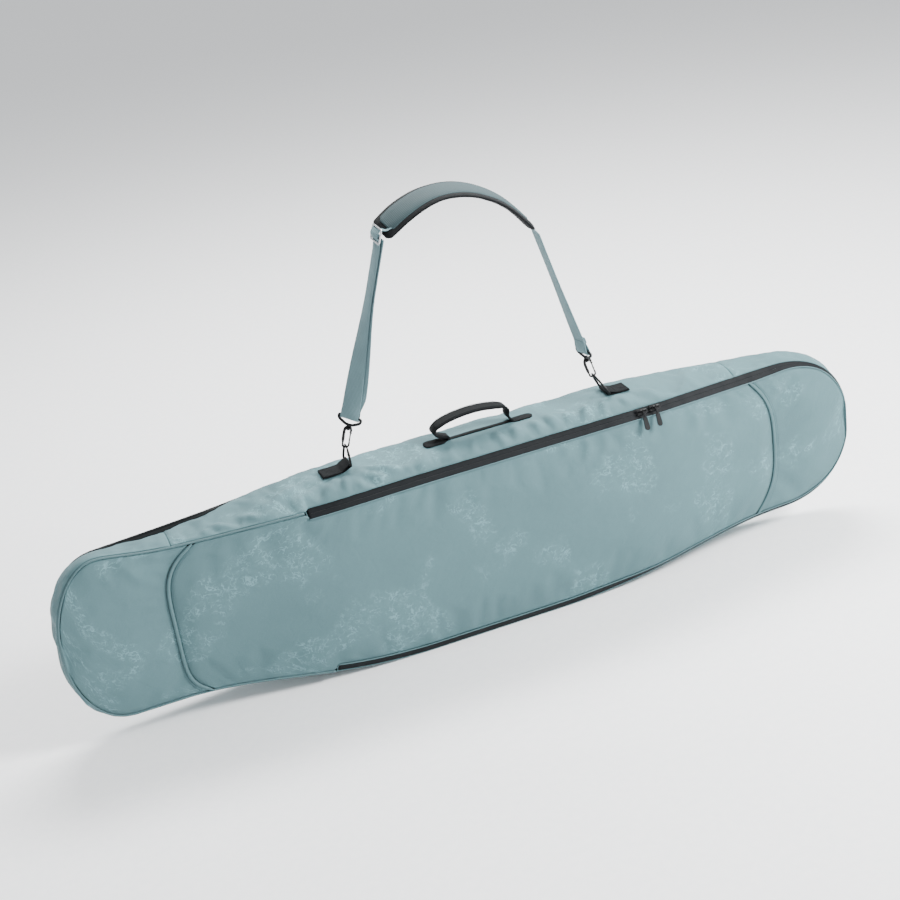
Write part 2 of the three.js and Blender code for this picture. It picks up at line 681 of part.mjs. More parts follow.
// Slotted strap end with a headed swivel pin, which runs through the hook's collar.
function bracketGeometry() {
  const { half, foot, z, slotZ, slotHalf, halfThick: plateHalf } = BRACKET;
  const plate = new THREE.Shape();
  plate.moveTo(-foot, z[1] - 1);
  plate.lineTo(foot, z[1] - 1);
  plate.lineTo(half, z[2]);
  plate.lineTo(half, z[3] - 2);
  plate.lineTo(half - 2, z[3]);
  plate.lineTo(2 - half, z[3]);
  plate.lineTo(-half, z[3] - 2);
  plate.lineTo(-half, z[2]);
  const slot = new THREE.Path();
  slot.moveTo(-slotHalf, slotZ[0]);
  slot.lineTo(-slotHalf, slotZ[1]);
  slot.lineTo(slotHalf, slotZ[1]);
  slot.lineTo(slotHalf, slotZ[0]);
  plate.holes.push(slot);
  const body = new THREE.ExtrudeGeometry(plate, { depth: 2 * plateHalf, bevelEnabled: false });
  body.translate(0, 0, -plateHalf);
  body.rotateX(Math.PI / 2);
  const { radius, head, headLow, headHigh, shoulder } = SWIVEL_PIN;
  const profile = [
    [0, headLow], [head, headLow], [head, headHigh], [radius, headHigh],
    [radius, z[0]], [shoulder, z[0]], [shoulder, z[1]], [0, z[1]],
  ];
  const pin = new THREE.LatheGeometry(profile.map(([r, h]) => new THREE.Vector2(r, h)), 12);
  pin.rotateX(Math.PI / 2);
  return joined(body, pin);
}

// ------------------------------------------------------------ shoulder strap

const reach = ({ ringX, padX, padZ }) => Math.hypot(padX - ringX, padZ - RING.apexZ);
const lean = ({ ringX, padX, padZ }) => Math.atan2(padX - ringX, padZ - RING.apexZ);

// Webbing along local Z, looped round the bracket's bar and turning to face
// across the bag at the pad.
function legWebbing(end, upTo, thickness) {
  const bar = { low: BRACKET.slotZ[1], high: BRACKET.z[3] };
  const loopThick = 2 * (BRACKET.halfThick + 0.4 + WEBBING.single);
  const turn = THREE.MathUtils.degToRad(end.turn);
  const untwisted = 0.74 * reach(end);
  const station = (z, thick) => {
    const share = 1 - easeDown(z, bar.high + 6, untwisted);
    const angle = turn + (Math.PI / 2 - turn) * share;
    return {
      centre: vec(0, 0, z),
      wide: vec(Math.cos(angle), -Math.sin(angle), 0).multiplyScalar(WEBBING.half),
      thick: vec(Math.sin(angle), Math.cos(angle), 0).multiplyScalar(thick / 2),
    };
  };
  const steps = 12;
  const start = bar.high + 7;
  const run = Array.from({ length: steps + 1 }, (_, i) => (
    station(start + ((upTo - start) * i) / steps, thickness)));
  const body = strap([station(bar.low - 2.6, loopThick), station(bar.high + 1, loopThick), ...run]);
  const clear = new THREE.BoxGeometry(80, 2 * BRACKET.halfThick + 0.8, bar.high - bar.low + 0.8);
  clear.rotateZ(-turn);
  clear.translate(0, 0, (bar.low + bar.high) / 2);
  return cut(body, clear);
}

function padCurve() {
  return new THREE.CatmullRomCurve3([
    vec(LEFT.padX, 0, LEFT.padZ), vec(-50, 0, 873), vec(0, 0, 890), vec(50, 0, 891),
    vec(100, 0, 875), vec(150, 0, 840), vec(RIGHT.padX, 0, RIGHT.padZ),
  ]);
}

function addPad() {
  const run = stationsOn(padCurve(), 0.012, 0.988, 14);
  const padStations = run.map(({ centre, normal, t }) => ({
    centre,
    wide: vec(0, THREE.MathUtils.lerp(PAD.half, PAD.tip, Math.abs(2 * t - 1) ** 4), 0),
    thick: normal.clone().multiplyScalar(PAD.thick / 2),
  }));
  place('shoulder_pad', strap(padStations), BLACK_FABRIC);
  const above = PAD.thick / 2 + SEW_GAP + WEBBING.single / 2;
  const strip = run.map(({ centre, normal }) => ({
    centre: centre.clone().addScaledVector(normal, above),
    wide: vec(0, WEBBING.half, 0),
    thick: normal.clone().multiplyScalar(WEBBING.single / 2),
  }));
  place('pad_webbing', strap(strip), TEAL_WEBBING);
}

// Flat buckle with two slots, lying on the outer side of the webbing.
function addAdjuster(group) {
  const { at, half, wide, bar, front, thick } = ADJUSTER;
  const plate = new THREE.Shape();
  plate.moveTo(-wide, -half);
  plate.lineTo(wide, -half);
  plate.lineTo(wide, half);
  plate.lineTo(-wide, half);
  const slotHalf = wide - 3;
  for (const [low, high] of [[bar - half, -bar / 2], [bar / 2, half - bar]]) {
    const slot = new THREE.Path();
    slot.moveTo(-slotHalf, low);
    slot.lineTo(-slotHalf, high);
    slot.lineTo(slotHalf, high);
    slot.lineTo(slotHalf, low);
    plate.holes.push(slot);
  }
  const frame = new THREE.ExtrudeGeometry(plate, { depth: thick, bevelEnabled: false });
  const aside = new THREE.Group();
  aside.position.set(-front, 0, at);
  aside.quaternion.setFromRotationMatrix(
    new THREE.Matrix4().makeBasis(vec(0, -1, 0), vec(0, 0, 1), vec(-1, 0, 0)));
  group.add(aside);
  place('strap_adjuster', frame, STEEL, aside);

  const wall = WEBBING.single;
  const loopLow = front - 0.3 - wall;
  const loopHigh = front + thick + 0.3 + wall;
  const room = bar / 2 + 0.4;
  const outer = new THREE.BoxGeometry(loopHigh - loopLow, 2 * WEBBING.half, 2 * (room + wall));
  const inner = new THREE.BoxGeometry(thick + 0.6, 2 * WEBBING.half + 2, 2 * room);
  const loop = cut(outer, inner);
  loop.translate(-(loopLow + loopHigh) / 2, 0, at);
  place('adjuster_webbing_end', loop, TEAL_WEBBING, group);
}

function addStrapEnd(name, end) {
  const group = new THREE.Group();
  group.position.set(end.ringX, 0, RING.apexZ);
  group.rotation.y = lean(end);
  bag.add(group);
  place(`${name}_hook`, hookGeometry(), BLACK_METAL, group);
  place(`${name}_gate`, gateGeometry(), BLACK_METAL, group);
  const turned = new THREE.Group();
  turned.rotation.z = -THREE.MathUtils.degToRad(end.turn);
  group.add(turned);
  place(`${name}_bracket`, bracketGeometry(), BLACK_PLASTIC, turned);
  const thickness = name === 'left' ? WEBBING.double : WEBBING.single;
  place(`${name}_webbing`, legWebbing(end, reach(end) - 2, thickness), TEAL_WEBBING, group);
  return group;
}

// ------------------------------------------------------------------ assembly

addFixedFront();
addFlap();
addBack();
addSeamPiping('left_seam_piping', leftSeam(0), CORD_CUT);
addSeamPiping('right_seam_piping', rightSeam(0), ZIP_CUT);
addGussets();
place('gusset_lining', gussetLining(), LINING_GREY);
addTrim();
addZip();
addSlider('left', SLIDER.left);
addSlider('right', SLIDER.right);
addHandle();
place('left_tab', tabGeometry(TAB.left, LEFT.ringX), BLACK_WEBBING);
place('right_tab', tabGeometry(TAB.right, RIGHT.ringX), BLACK_WEBBING);
place('left_ring', ringSolid(LEFT.ringX), BLACK_METAL);
place('right_ring', ringSolid(RIGHT.ringX), BLACK_METAL);
const leftEnd = addStrapEnd('left', LEFT);
addStrapEnd('right', RIGHT);
addAdjuster(leftEnd);
addPad();

export default bag;
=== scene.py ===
import math

import bpy
import numpy as np
from mathutils import Matrix, Vector, noise


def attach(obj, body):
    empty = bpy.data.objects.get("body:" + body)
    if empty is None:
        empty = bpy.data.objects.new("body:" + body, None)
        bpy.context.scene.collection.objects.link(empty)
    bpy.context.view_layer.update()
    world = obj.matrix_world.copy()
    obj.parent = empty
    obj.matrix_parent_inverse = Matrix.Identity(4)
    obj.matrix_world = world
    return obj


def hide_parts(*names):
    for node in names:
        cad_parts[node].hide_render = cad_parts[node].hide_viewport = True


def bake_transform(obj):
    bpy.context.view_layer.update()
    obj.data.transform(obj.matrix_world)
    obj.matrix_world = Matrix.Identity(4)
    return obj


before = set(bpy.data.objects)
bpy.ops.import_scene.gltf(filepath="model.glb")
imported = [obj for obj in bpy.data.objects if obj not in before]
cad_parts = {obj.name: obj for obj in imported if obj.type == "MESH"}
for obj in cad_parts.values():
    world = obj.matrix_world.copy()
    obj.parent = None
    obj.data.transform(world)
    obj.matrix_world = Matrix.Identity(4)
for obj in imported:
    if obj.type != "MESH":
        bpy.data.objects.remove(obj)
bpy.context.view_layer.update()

# ------------------------------------------------------------ driving sizes
# Metres. X runs along the bag, the zipped front faces -Y and +Z is up.

HALF_LENGTH = 0.840
END_HALF_HEIGHT = 0.165
END_CENTRE_Z = 0.212
TOP_RISE = 0.007
BELLY_DROP = 0.047
ARCH = 0.020
HALF_THICK_END = 0.0435
HALF_THICK_RISE = 0.0355
CORNER = {"left": 0.106, "right": 0.161}
CORNER_POWER = 2.13
END_FLAT = 0.2
FULL_TO = {"left": 0.250, "right": 0.300}
TAPERED_TO = {"left": 0.640, "right": 0.720}
BELLY_FULL_TO = 0.130
BELLY_TAPERED_TO = 0.640
HINGE_X = -0.343
ROLL_END_X = -0.250       # the inner sheets get extra rows of their grid between the hinge and here
ZIP_CUT = 0.017
CORD_CUT = 0.0055
BINDING_CUT = 0.0075
LEFT_SEAM = {"x": -0.626, "high": (0.064, 4), "low": (0.040, 7)}
RIGHT_SEAM = {"x": 0.660, "high": (-0.052, 3), "low": (-0.052, 3)}
SEAM_HALF = 0.0034
BACK_IN = {"left": 0.018, "right": 0.022}   # how much thinner the bag is at its ends
NARROW_ZIP = 0.36
ZIP_TUCK = 0.45           # how far back the gusset's lower edge sits, as a share of its upper one's
GUSSET_SPLIT = {"left": -0.600, "right": 0.580}
CLOTH_THICK = 0.0022
GRID = 0.0075             # spacing of the cloth's threads in the simulated sheets

# ------------------------------------------------------------- small helpers


def ease(value, low, high):
    """0 before low, 1 after high, smooth between."""
    t = np.clip((np.asarray(value, float) - low) / (high - low), 0, 1)
    return t * t * (3 - 2 * t)


def by_side(x, table):
    return np.where(np.asarray(x) < 0, table["left"], table["right"])


def lerp(a, b, t):
    return a + (b - a) * t


def unit(v):
    v = np.asarray(v, float)
    return v / np.maximum(np.linalg.norm(v, axis=-1, keepdims=True), 1e-12)


def run_along(path):
    """Distance along a path at each of its points."""
    return np.concatenate([[0], np.cumsum(np.linalg.norm(np.diff(path, axis=0), axis=1))])


def fixed(x):
    """An edge that stays at x at every height share v."""
    return lambda v: x + 0 * np.asarray(v, float)


def rim_points(shape):
    """Marks the outermost points of a grid."""
    marked = np.zeros(shape, bool)
    marked[[0, -1], :] = True
    marked[:, [0, -1]] = True
    return marked


def wave_noise(places, scale, seed):
    """Smooth noise from -1 to 1 at each place; seed picks another field."""
    shift = Vector((seed * 7.3, seed * 3.1, seed * 5.7))
    flat = places.reshape(-1, 3)
    values = [noise.noise(Vector(p) * scale + shift) for p in flat]
    return np.array(values).reshape(places.shape[:-1])


# ----------------------------------------------------------- the bag's shape


def fullness(x):
    return 1 - ease(np.abs(x), by_side(x, FULL_TO), by_side(x, TAPERED_TO))


def belly(x):
    return 1 - ease(np.abs(x), BELLY_FULL_TO, BELLY_TAPERED_TO)


def half_thick(x):
    return HALF_THICK_END + HALF_THICK_RISE * fullness(x)


def half_height(x):
    radius = by_side(x, CORNER)
    reach = (1 - END_FLAT ** CORNER_POWER) ** (1 / CORNER_POWER)
    into = np.clip((np.abs(x) - (HALF_LENGTH - radius)) / radius, 0, 1) * reach
    return END_HALF_HEIGHT * (1 - into ** CORNER_POWER) ** (1 / CORNER_POWER)


class Outline:
    """The bag's side outline as a closed run, met by distance along it."""

    def __init__(self):
        x = HALF_LENGTH * np.sin(np.linspace(-math.pi / 2, math.pi / 2, 1500))
        top = END_CENTRE_Z + half_height(x) + TOP_RISE * fullness(x)
        low = END_CENTRE_Z - half_height(x) - BELLY_DROP * belly(x)
        run = np.concatenate([np.stack([x, top], 1), np.stack([x, low], 1)[::-1]])
        steps = np.linalg.norm(np.roll(run, -1, 0) - run, axis=1)
        at = np.concatenate([[0], np.cumsum(steps)[:-1]])
        self.length = steps.sum()
        even = np.linspace(0, self.length, 3000, endpoint=False)
        line = np.stack([np.interp(even, at, run[:, i], period=self.length) for i in (0, 1)], 1)
        for _ in range(60):
            line = (np.roll(line, 1, 0) + 2 * line + np.roll(line, -1, 0)) / 4
        along = unit(np.roll(line, -1, 0) - np.roll(line, 1, 0))
        self.at, self.line = even, line
        self.out = np.stack([-along[:, 1], along[:, 0]], 1)

    def meet(self, s):
        """(x, z, outward x, outward z) at distance s along the outline."""
        values = [self.line[:, 0], self.line[:, 1], self.out[:, 0], self.out[:, 1]]
        return [np.interp(s, self.at, v, period=self.length) for v in values]

    def distance(self, x, upper):
        """Distance along the outline where its upper or lower run passes x."""
        half = len(self.at) // 2
        if upper:
            return float(np.interp(x, self.line[:half, 0], self.at[:half]))
        return float(np.interp(x, self.line[half:, 0][::-1], self.at[half:][::-1]))

    def side_x(self, z, margin, side):
        """How far out the left (-1) or right (1) end of the inset outline reaches at height z."""
        inner = self.line - self.out * margin
        run = inner[inner[:, 0] * side > HALF_LENGTH - 0.14]
        near = run[np.argsort(run[:, 1])]
        return np.interp(z, near[:, 1], near[:, 0])

    def edge_z(self, x, margin, upper):
        """Height at x of the outline moved inwards by margin."""
        inner = self.line - self.out * margin
        half = len(self.at) // 2
        run = inner[:half] if upper else inner[half:][::-1]
        order = np.argsort(run[:, 0], kind="stable")
        return np.interp(x, run[order, 0], run[order, 1])


OUTLINE = Outline()


def seam_x(seam, v, offset):
    out = np.abs(2 * v - 1)
    bow, power = (np.where(v > 0.5, seam["high"][i], seam["low"][i]) for i in (0, 1))
    slope = bow * power * out ** (power - 1) / END_HALF_HEIGHT
    return seam["x"] + offset * np.hypot(1, slope) + bow * out ** power


def back_y(x):
    """The back's cloth; the bag is thinner towards its ends."""
    return half_thick(x) - by_side(x, BACK_IN) * ease(np.abs(x), 0.56, 0.79)


def front_drop(x):
    """How much lower than the outline the front's upper edge hangs."""
    return np.interp(x, DROP_X, DROP)


def smooth_table(points):
    x = np.linspace(points[0][0], points[-1][0], 400)
    y = np.interp(x, *np.array(points).T)
    for _ in range(60):
        y[1:-1] = (y[:-2] + 2 * y[1:-1] + y[2:]) / 4
    return x, y


DROP_X, DROP = smooth_table([
    (-0.84, 0), (-0.815, -0.004), (-0.77, -0.017), (-0.73, -0.015), (-0.66, -0.001), (-0.60, 0.006),
    (-0.50, 0.008), (-0.343, 0.008), (-0.25, 0.006), (-0.10, 0.003), (0.30, 0.001), (0.70, 0.003), (0.84, 0)])


def zip_share(x, upper):
    """Width of the zip's band as a share of its full width; it is narrow round the right end."""
    if upper:
        return lerp(1.0, NARROW_ZIP, ease(x, 0.60, 0.80))
    return lerp(1.0, NARROW_ZIP, lerp(0.7 * ease(x, 0.20, 0.40), 1.0, ease(x, 0.74, 0.83)))


def front_margin(x, upper):
    """How far inside the outline the front's cloth stops: at the piping, or at the zip."""
    return lerp(CORD_CUT, ZIP_CUT * zip_share(x, upper), ease(x, HINGE_X - 0.004, HINGE_X + 0.004))


# ------------------------------------------------------------- mesh building


def add_object(name, verts, faces, look=None):
    mesh = bpy.data.meshes.new(name)
    mesh.from_pydata(np.asarray(verts, float).reshape(-1, 3).tolist(), [], [list(f) for f in faces])
    mesh.polygons.foreach_set("use_smooth", [True] * len(mesh.polygons))
    made = bpy.data.objects.new(name, mesh)
    bpy.context.scene.collection.objects.link(made)
    if look:
        made.data.materials.append(look)
    return made


def keep_cloth(made, cloth):
    """Stores the cloth's own flat coordinates in metres, for the weave."""
    attribute = made.data.attributes.new("cloth", "FLOAT_VECTOR", "POINT")
    attribute.data.foreach_set("vector", np.asarray(cloth, float).ravel())


def grid_object(name, places, look, flip=False):
    """Sheet over a grid of places, with the cloth's length and width as coordinates."""
    columns, rows = places.shape[:2]
    index = np.arange(columns * rows).reshape(columns, rows)
    corners = [index[:-1, :-1], index[1:, :-1], index[1:, 1:], index[:-1, 1:]]
    quads = np.stack(corners[::-1] if flip else corners, axis=-1).reshape(-1, 4)
    made = add_object(name, places, quads, look)
    along = np.linalg.norm(np.diff(places, axis=0), axis=2)
    across = np.linalg.norm(np.diff(places, axis=1), axis=2)
    u = np.concatenate([np.zeros((1, rows)), np.cumsum(along, axis=0)])
    v = np.concatenate([np.zeros((columns, 1)), np.cumsum(across, axis=1)], axis=1)
    u = u + (places[:1, :1, 0] - u[:1, :1])
    keep_cloth(made, np.stack([u.mean(axis=1, keepdims=True) + 0 * u, v, 0 * u], axis=-1))
    return made


def loft_object(name, sections, look, ring=False):
    """Closed body through sections, shaped (count, sides, 3)."""
    sections = np.asarray(sections, float)
    count, sides = sections.shape[:2]
    index = np.arange(count * sides).reshape(count, sides)
    turned = np.roll(index, -1, axis=1)
    after = np.roll(index, -1, axis=0) if ring else index[1:]
    turned_after = np.roll(turned, -1, axis=0) if ring else turned[1:]
    here = index if ring else index[:-1]
    turned_here = turned if ring else turned[:-1]
    quads = np.stack([here, turned_here, turned_after, after], axis=-1).reshape(-1, 4).tolist()
    if not ring:
        quads += [index[0][::-1].tolist(), index[-1].tolist()]
    made = add_object(name, sections, quads, look)
    u = run_along(sections.mean(axis=1))[:, None] + np.zeros((1, sides))
    rim = np.linalg.norm(np.diff(sections, axis=1), axis=2).mean(axis=0)
    v = np.concatenate([[0], np.cumsum(rim)])[None, :] + 0 * u
    keep_cloth(made, np.stack([u, v, 0 * u], axis=-1))
    face_out(made)
    return made


def face_out(made):
    """Turns a closed mesh's faces outwards."""
    mesh = made.data
    mesh.calc_loop_triangles()
    co = np.array([v.co for v in mesh.vertices], float)
    tri = np.array([t.vertices for t in mesh.loop_triangles])
    volume = np.einsum("ij,ij->i", co[tri[:, 0]], np.cross(co[tri[:, 1]], co[tri[:, 2]])).sum()
    if volume < 0:
        mesh.flip_normals()


def tube(name, path, radius, look, sides, across=(0, 1, 0), ring=False):
    """Round cord through a path; radius may change along it."""
    path = np.asarray(path, float)
    if ring:
        along = unit(np.roll(path, -1, 0) - np.roll(path, 1, 0))
    else:
        along = unit(np.gradient(path, axis=0))
    one = unit(np.asarray(across, float) - along * (along @ np.asarray(across, float))[:, None])
    two = np.cross(along, one)
    angles = np.linspace(0, 2 * math.pi, sides, endpoint=False)
    reach = np.broadcast_to(np.asarray(radius, float), (len(path),))[:, None, None]
    rim = one[:, None, :] * np.cos(angles)[None, :, None] + two[:, None, :] * np.sin(angles)[None, :, None]
    return loft_object(name, path[:, None, :] + reach * rim, look, ring)


def ribbon(name, centre, wide, thick, look, ring=False):
    """Flat webbing: wide and thick are half-size vectors at each centre; its edges are round."""
    shape = []
    for side in (-1, 1):
        for angle in np.linspace(-90, 90, 5):
            a = math.radians(angle)
            shape.append((side * (0.965 + 0.035 * math.cos(a)), side * math.sin(a)))
    centre, wide, thick = (np.asarray(a, float)[:, None, :] for a in (centre, wide, thick))
    a, b = np.array(shape).T
    sections = centre + wide * a[None, :, None] + thick * b[None, :, None]
    return loft_object(name, sections, look, ring)


def smooth_path(points, count, ring=False):
    """Catmull-Rom curve through given points, evenly stepped."""
    p = np.asarray(points, float)
    if ring:
        p = np.concatenate([p[-1:], p, p[:2]])
    else:
        p = np.concatenate([[2 * p[0] - p[1]], p, [2 * p[-1] - p[-2]]])
    out = []
    for i in range(1, len(p) - 2):
        t = np.linspace(0, 1, 24, endpoint=False)[:, None]
        a, b, c, d = p[i - 1:i + 3]
        out.append(0.5 * (2 * b + (c - a) * t + (2 * a - 5 * b + 4 * c - d) * t ** 2
                          + (3 * b - 3 * c + d - a) * t ** 3))
    out = np.concatenate([*out, p[-2:-1]])
    at = run_along(out)
    even = np.linspace(0, at[-1], count, endpoint=not ring)
    return np.stack([np.interp(even, at, out[:, i]) for i in range(out.shape[1])], axis=1)


def apply_modifiers(made):
    graph = bpy.context.evaluated_depsgraph_get()
    mesh = bpy.data.meshes.new_from_object(made.evaluated_get(graph))
    made.modifiers.clear()
    made.data = mesh


def thicken(made, thickness, levels=1):
    """Smooths a sheet and gives it its thickness, inwards."""
    if levels:
        made.modifiers.new("smooth", "SUBSURF").levels = levels
    solid = made.modifiers.new("solid", "SOLIDIFY")
    solid.thickness = thickness
    solid.offset = -1
    apply_modifiers(made)
    made.data.polygons.foreach_set("use_smooth", [True] * len(made.data.polygons))
    return made


def stitches(name, path, normals, look, pitch=0.0045, length=0.003, radius=0.00038):
    """A row of stitches lying along a path on the cloth."""
    path, normals = np.asarray(path, float), unit(normals)
    at = run_along(path)
    starts = np.arange(pitch / 2, at[-1] - length, pitch)
    verts, faces = [], []
    for s in starts:
        shares = np.array([0, 0.22, 0.78, 1]) * length + s
        line = np.stack([np.interp(shares, at, path[:, i]) for i in range(3)], axis=1)
        up = unit([np.interp(s, at, normals[:, i]) for i in range(3)])
        side = unit(np.cross(line[-1] - line[0], up))
        first = len(verts)
        for place, lift, size in zip(line, (0, 1, 1, 0), (0.45, 1, 1, 0.45)):
            for k in range(6):
                angle = math.pi * k / 3
                offset = side * math.cos(angle) + up * (math.sin(angle) + 0.5 * lift)
                verts.append(place + offset * radius * size)
        for i in range(3):
            for k in range(6):
                a, b = first + 6 * i + k, first + 6 * i + (k + 1) % 6
                faces.append([a, b, b + 6, a + 6])
        faces.append([first + k for k in range(5, -1, -1)])
        faces.append([first + 18 + k for k in range(6)])
    made = add_object(name, verts, faces, look)
    face_out(made)
    return made


# --------------------------------------------------------- cloth simulation

FRAMES = 20


def billow(made, places, sewn, pressure, spare, cap):
    """Swells and creases a sheet that is sewn down at some grid points, and gives its new places.

    spare is how much longer the cloth is than the space that it is sewn into, as a share of it.
    cap is the most that a point keeps of the movement that the simulation gives it."""
    scene = bpy.context.scene
    group = made.vertex_groups.new(name="sewn")
    group.add([int(i) for i in np.flatnonzero(sewn.ravel())], 1.0, "REPLACE")
    cloth = made.modifiers.new("cloth", "CLOTH")
    settings = cloth.settings
    settings.quality = 5
    settings.mass = 0.15
    settings.tension_stiffness = 12
    settings.compression_stiffness = 12
    settings.shear_stiffness = 4
    settings.bending_stiffness = 0.6
    settings.vertex_group_mass = "sewn"
    settings.use_pressure = True
    settings.uniform_pressure_force = pressure
    settings.shrink_min = -spare
    settings.effector_weights.gravity = 0
    cloth.collision_settings.use_collision = False
    for number in range(1, FRAMES + 1):
        scene.frame_set(number)
    graph = bpy.context.evaluated_depsgraph_get()
    mesh = made.evaluated_get(graph).to_mesh()
    moved = np.zeros(places.size)
    mesh.vertices.foreach_get("co", moved)
    made.evaluated_get(graph).to_mesh_clear()
    made.modifiers.clear()
    made.vertex_groups.clear()
    scene.frame_set(1)
    step = moved.reshape(places.shape) - places
    size = np.linalg.norm(step, axis=2, keepdims=True)
    return places + step * np.minimum(1, cap / np.maximum(size, 1e-9))


def set_places(made, places):
    made.data.vertices.foreach_set("co", np.asarray(places, float).ravel())
    made.data.update()


# ---------------------------------------------------------------- materials


class Shader:
    """Builds a material's nodes. A value that is a socket is linked, and any other is set."""

    def __init__(self, name):
        self.material = bpy.data.materials.new(name)
        self.material.use_nodes = True
        self.tree = self.material.node_tree
        self.surface = self.tree.nodes["Principled BSDF"]

    def add(self, kind, settings=None, **inputs):
        made = self.tree.nodes.new("ShaderNode" + kind)
        for key, value in (settings or {}).items():
            setattr(made, key, value)
        for key, value in inputs.items():
            self.put(made.inputs[int(key[1:]) if key[0] == "i" and key[1:].isdigit() else key], value)
        return made.outputs[0]

    def put(self, socket, value):
        if isinstance(value, bpy.types.NodeSocket):
            self.tree.links.new(value, socket)
        else:
            socket.default_value = value

    def math(self, operation, a, b=0.0, c=0.5):
        return self.add("Math", {"operation": operation}, i0=a, i1=b, i2=c)

    def mix(self, share, a, b):
        made = self.tree.nodes.new("ShaderNodeMix")
        made.data_type = "RGBA"
        self.put(made.inputs[0], share)
        self.put(made.inputs[6], a)
        self.put(made.inputs[7], b)
        return made.outputs[2]

    def band(self, value, low, high):
        """0 below low, 1 above high."""
        made = self.tree.nodes.new("ShaderNodeMapRange")
        self.put(made.inputs["Value"], value)
        made.inputs["From Min"].default_value = low
        made.inputs["From Max"].default_value = high
        return made.outputs[0]

    def places(self, flat):
        """Flat cloth coordinates where the piece has them, otherwise its own place."""
        if flat:
            made = self.tree.nodes.new("ShaderNodeAttribute")
            made.attribute_name = "cloth"
            return made.outputs["Vector"]
        made = self.tree.nodes.new("ShaderNodeTexCoord")
        return made.outputs["Object"]

    def noise(self, places, scale, detail=2.0, rough=0.5, warp=0.0):
        return self.add("TexNoise", Vector=places, Scale=scale, Detail=detail, Roughness=rough,
                        Distortion=warp)

    def ribs(self, places, axis, period):
        """Rows of threads across one axis, 0 between them and 1 on top."""
        split = self.tree.nodes.new("ShaderNodeSeparateXYZ")
        self.put(split.inputs[0], places)
        turns = self.math("MULTIPLY", split.outputs[axis], 2 * math.pi / period)
        return self.math("MULTIPLY_ADD", self.math("SINE", turns), 0.5)

    def bump(self, height, distance, strength, under=None):
        made = self.tree.nodes.new("ShaderNodeBump")
        made.inputs["Distance"].default_value = distance
        made.inputs["Strength"].default_value = strength
        self.put(made.inputs["Height"], height)
        if under is not None:
            self.put(made.inputs["Normal"], under)
        return made.outputs[0]

    def tint(self, tone, where, amount, colour):
        """Another colour over the tone, as far as where says."""
        return self.mix(self.math("MULTIPLY", where, amount), tone, colour)

    def finish(self, colour, roughness, normal, metallic=0.0, sheen=0.0, coat=0.0, specular=0.22):
        surface = self.surface
        self.put(surface.inputs["Base Color"], colour)
        self.put(surface.inputs["Roughness"], roughness)
        self.put(surface.inputs["Normal"], normal)
        surface.inputs["Metallic"].default_value = metallic
        surface.inputs["Sheen Weight"].default_value = sheen
        surface.inputs["Sheen Roughness"].default_value = 0.4
        surface.inputs["Coat Weight"].default_value = coat
        surface.inputs["Specular IOR Level"].default_value = specular
        return self.material


def shade(colour, factor):
    return (*[min(1.0, c * factor) for c in colour], 1.0)


def woven(name, colour, printed=False, period=0.0011, rough=0.62):
    """Plain-woven polyester: yarns over and under with painted shade between them, uneven dye and soft
    creasing.
    """
    s = Shader(name)
    at = s.places(True)
    warp, weft = s.ribs(at, 0, period), s.ribs(at, 1, period)
    weave = s.math("MAXIMUM", warp, weft)
    slubs = s.noise(at, 420.0, 3.0, 0.6)
    cloudy = s.noise(at, 7.0, 4.0, 0.55)
    tone = s.mix(s.band(cloudy, 0.3, 0.7), shade(colour, 0.93), shade(colour, 1.08))
    tone = s.tint(tone, s.band(slubs, 0.45, 0.75), 0.35, shade(colour, 1.28))
    # Painted shade: the cloth is darker in the hollows between the yarns.
    tone = s.tint(tone, s.band(weave, 0.75, 0.3), 0.35, shade(colour, 0.70))
    if printed:
        tone = s.tint(tone, vein_print(s, at), 0.75, shade(colour, 1.9))
    crinkle = s.noise(at, 46.0, 5.0, 0.6, 0.6)
    normal = s.bump(crinkle, 0.0016, 0.55)
    normal = s.bump(weave, 0.00016, 0.8, normal)
    glossy = s.math("MULTIPLY_ADD", s.band(slubs, 0.3, 0.7), 0.12, rough)
    return s.finish(tone, glossy, normal, sheen=0.04)


def vein_print(s, at):
    """Faint patches of fine wandering lines, a tone above the cloth."""
    warp = s.tree.nodes.new("ShaderNodeTexNoise")
    s.put(warp.inputs["Vector"], at)
    warp.inputs["Scale"].default_value = 26.0
    warp.inputs["Detail"].default_value = 3.0
    pushed = s.add("VectorMath", {"operation": "SCALE"}, i0=warp.outputs["Color"], Scale=0.03)
    moved = s.add("VectorMath", {"operation": "ADD"}, i0=at, i1=pushed)
    lines = None
    for scale, width, weight in ((24.0, 0.020, 1.0), (52.0, 0.030, 0.8)):
        level = s.math("SUBTRACT", s.noise(moved, scale, 3.0, 0.6), 0.5)
        line = s.band(s.math("ABSOLUTE", level), width, width * 0.35)
        line = s.math("MULTIPLY", line, weight)
        lines = line if lines is None else s.math("MAXIMUM", lines, line)
    patches = s.band(s.noise(at, 6.3, 2.0, 0.5), 0.515, 0.575)
    broken = s.band(s.noise(at, 48.0, 3.0, 0.6), 0.40, 0.56)
    speckled = s.band(s.noise(at, 90.0, 4.0, 0.7), 0.4, 0.7)
    haze = s.math("MULTIPLY", s.math("MULTIPLY", patches, speckled), 0.22)
    return s.math("MAXIMUM", s.math("MULTIPLY", s.math("MULTIPLY", lines, patches), broken), haze)


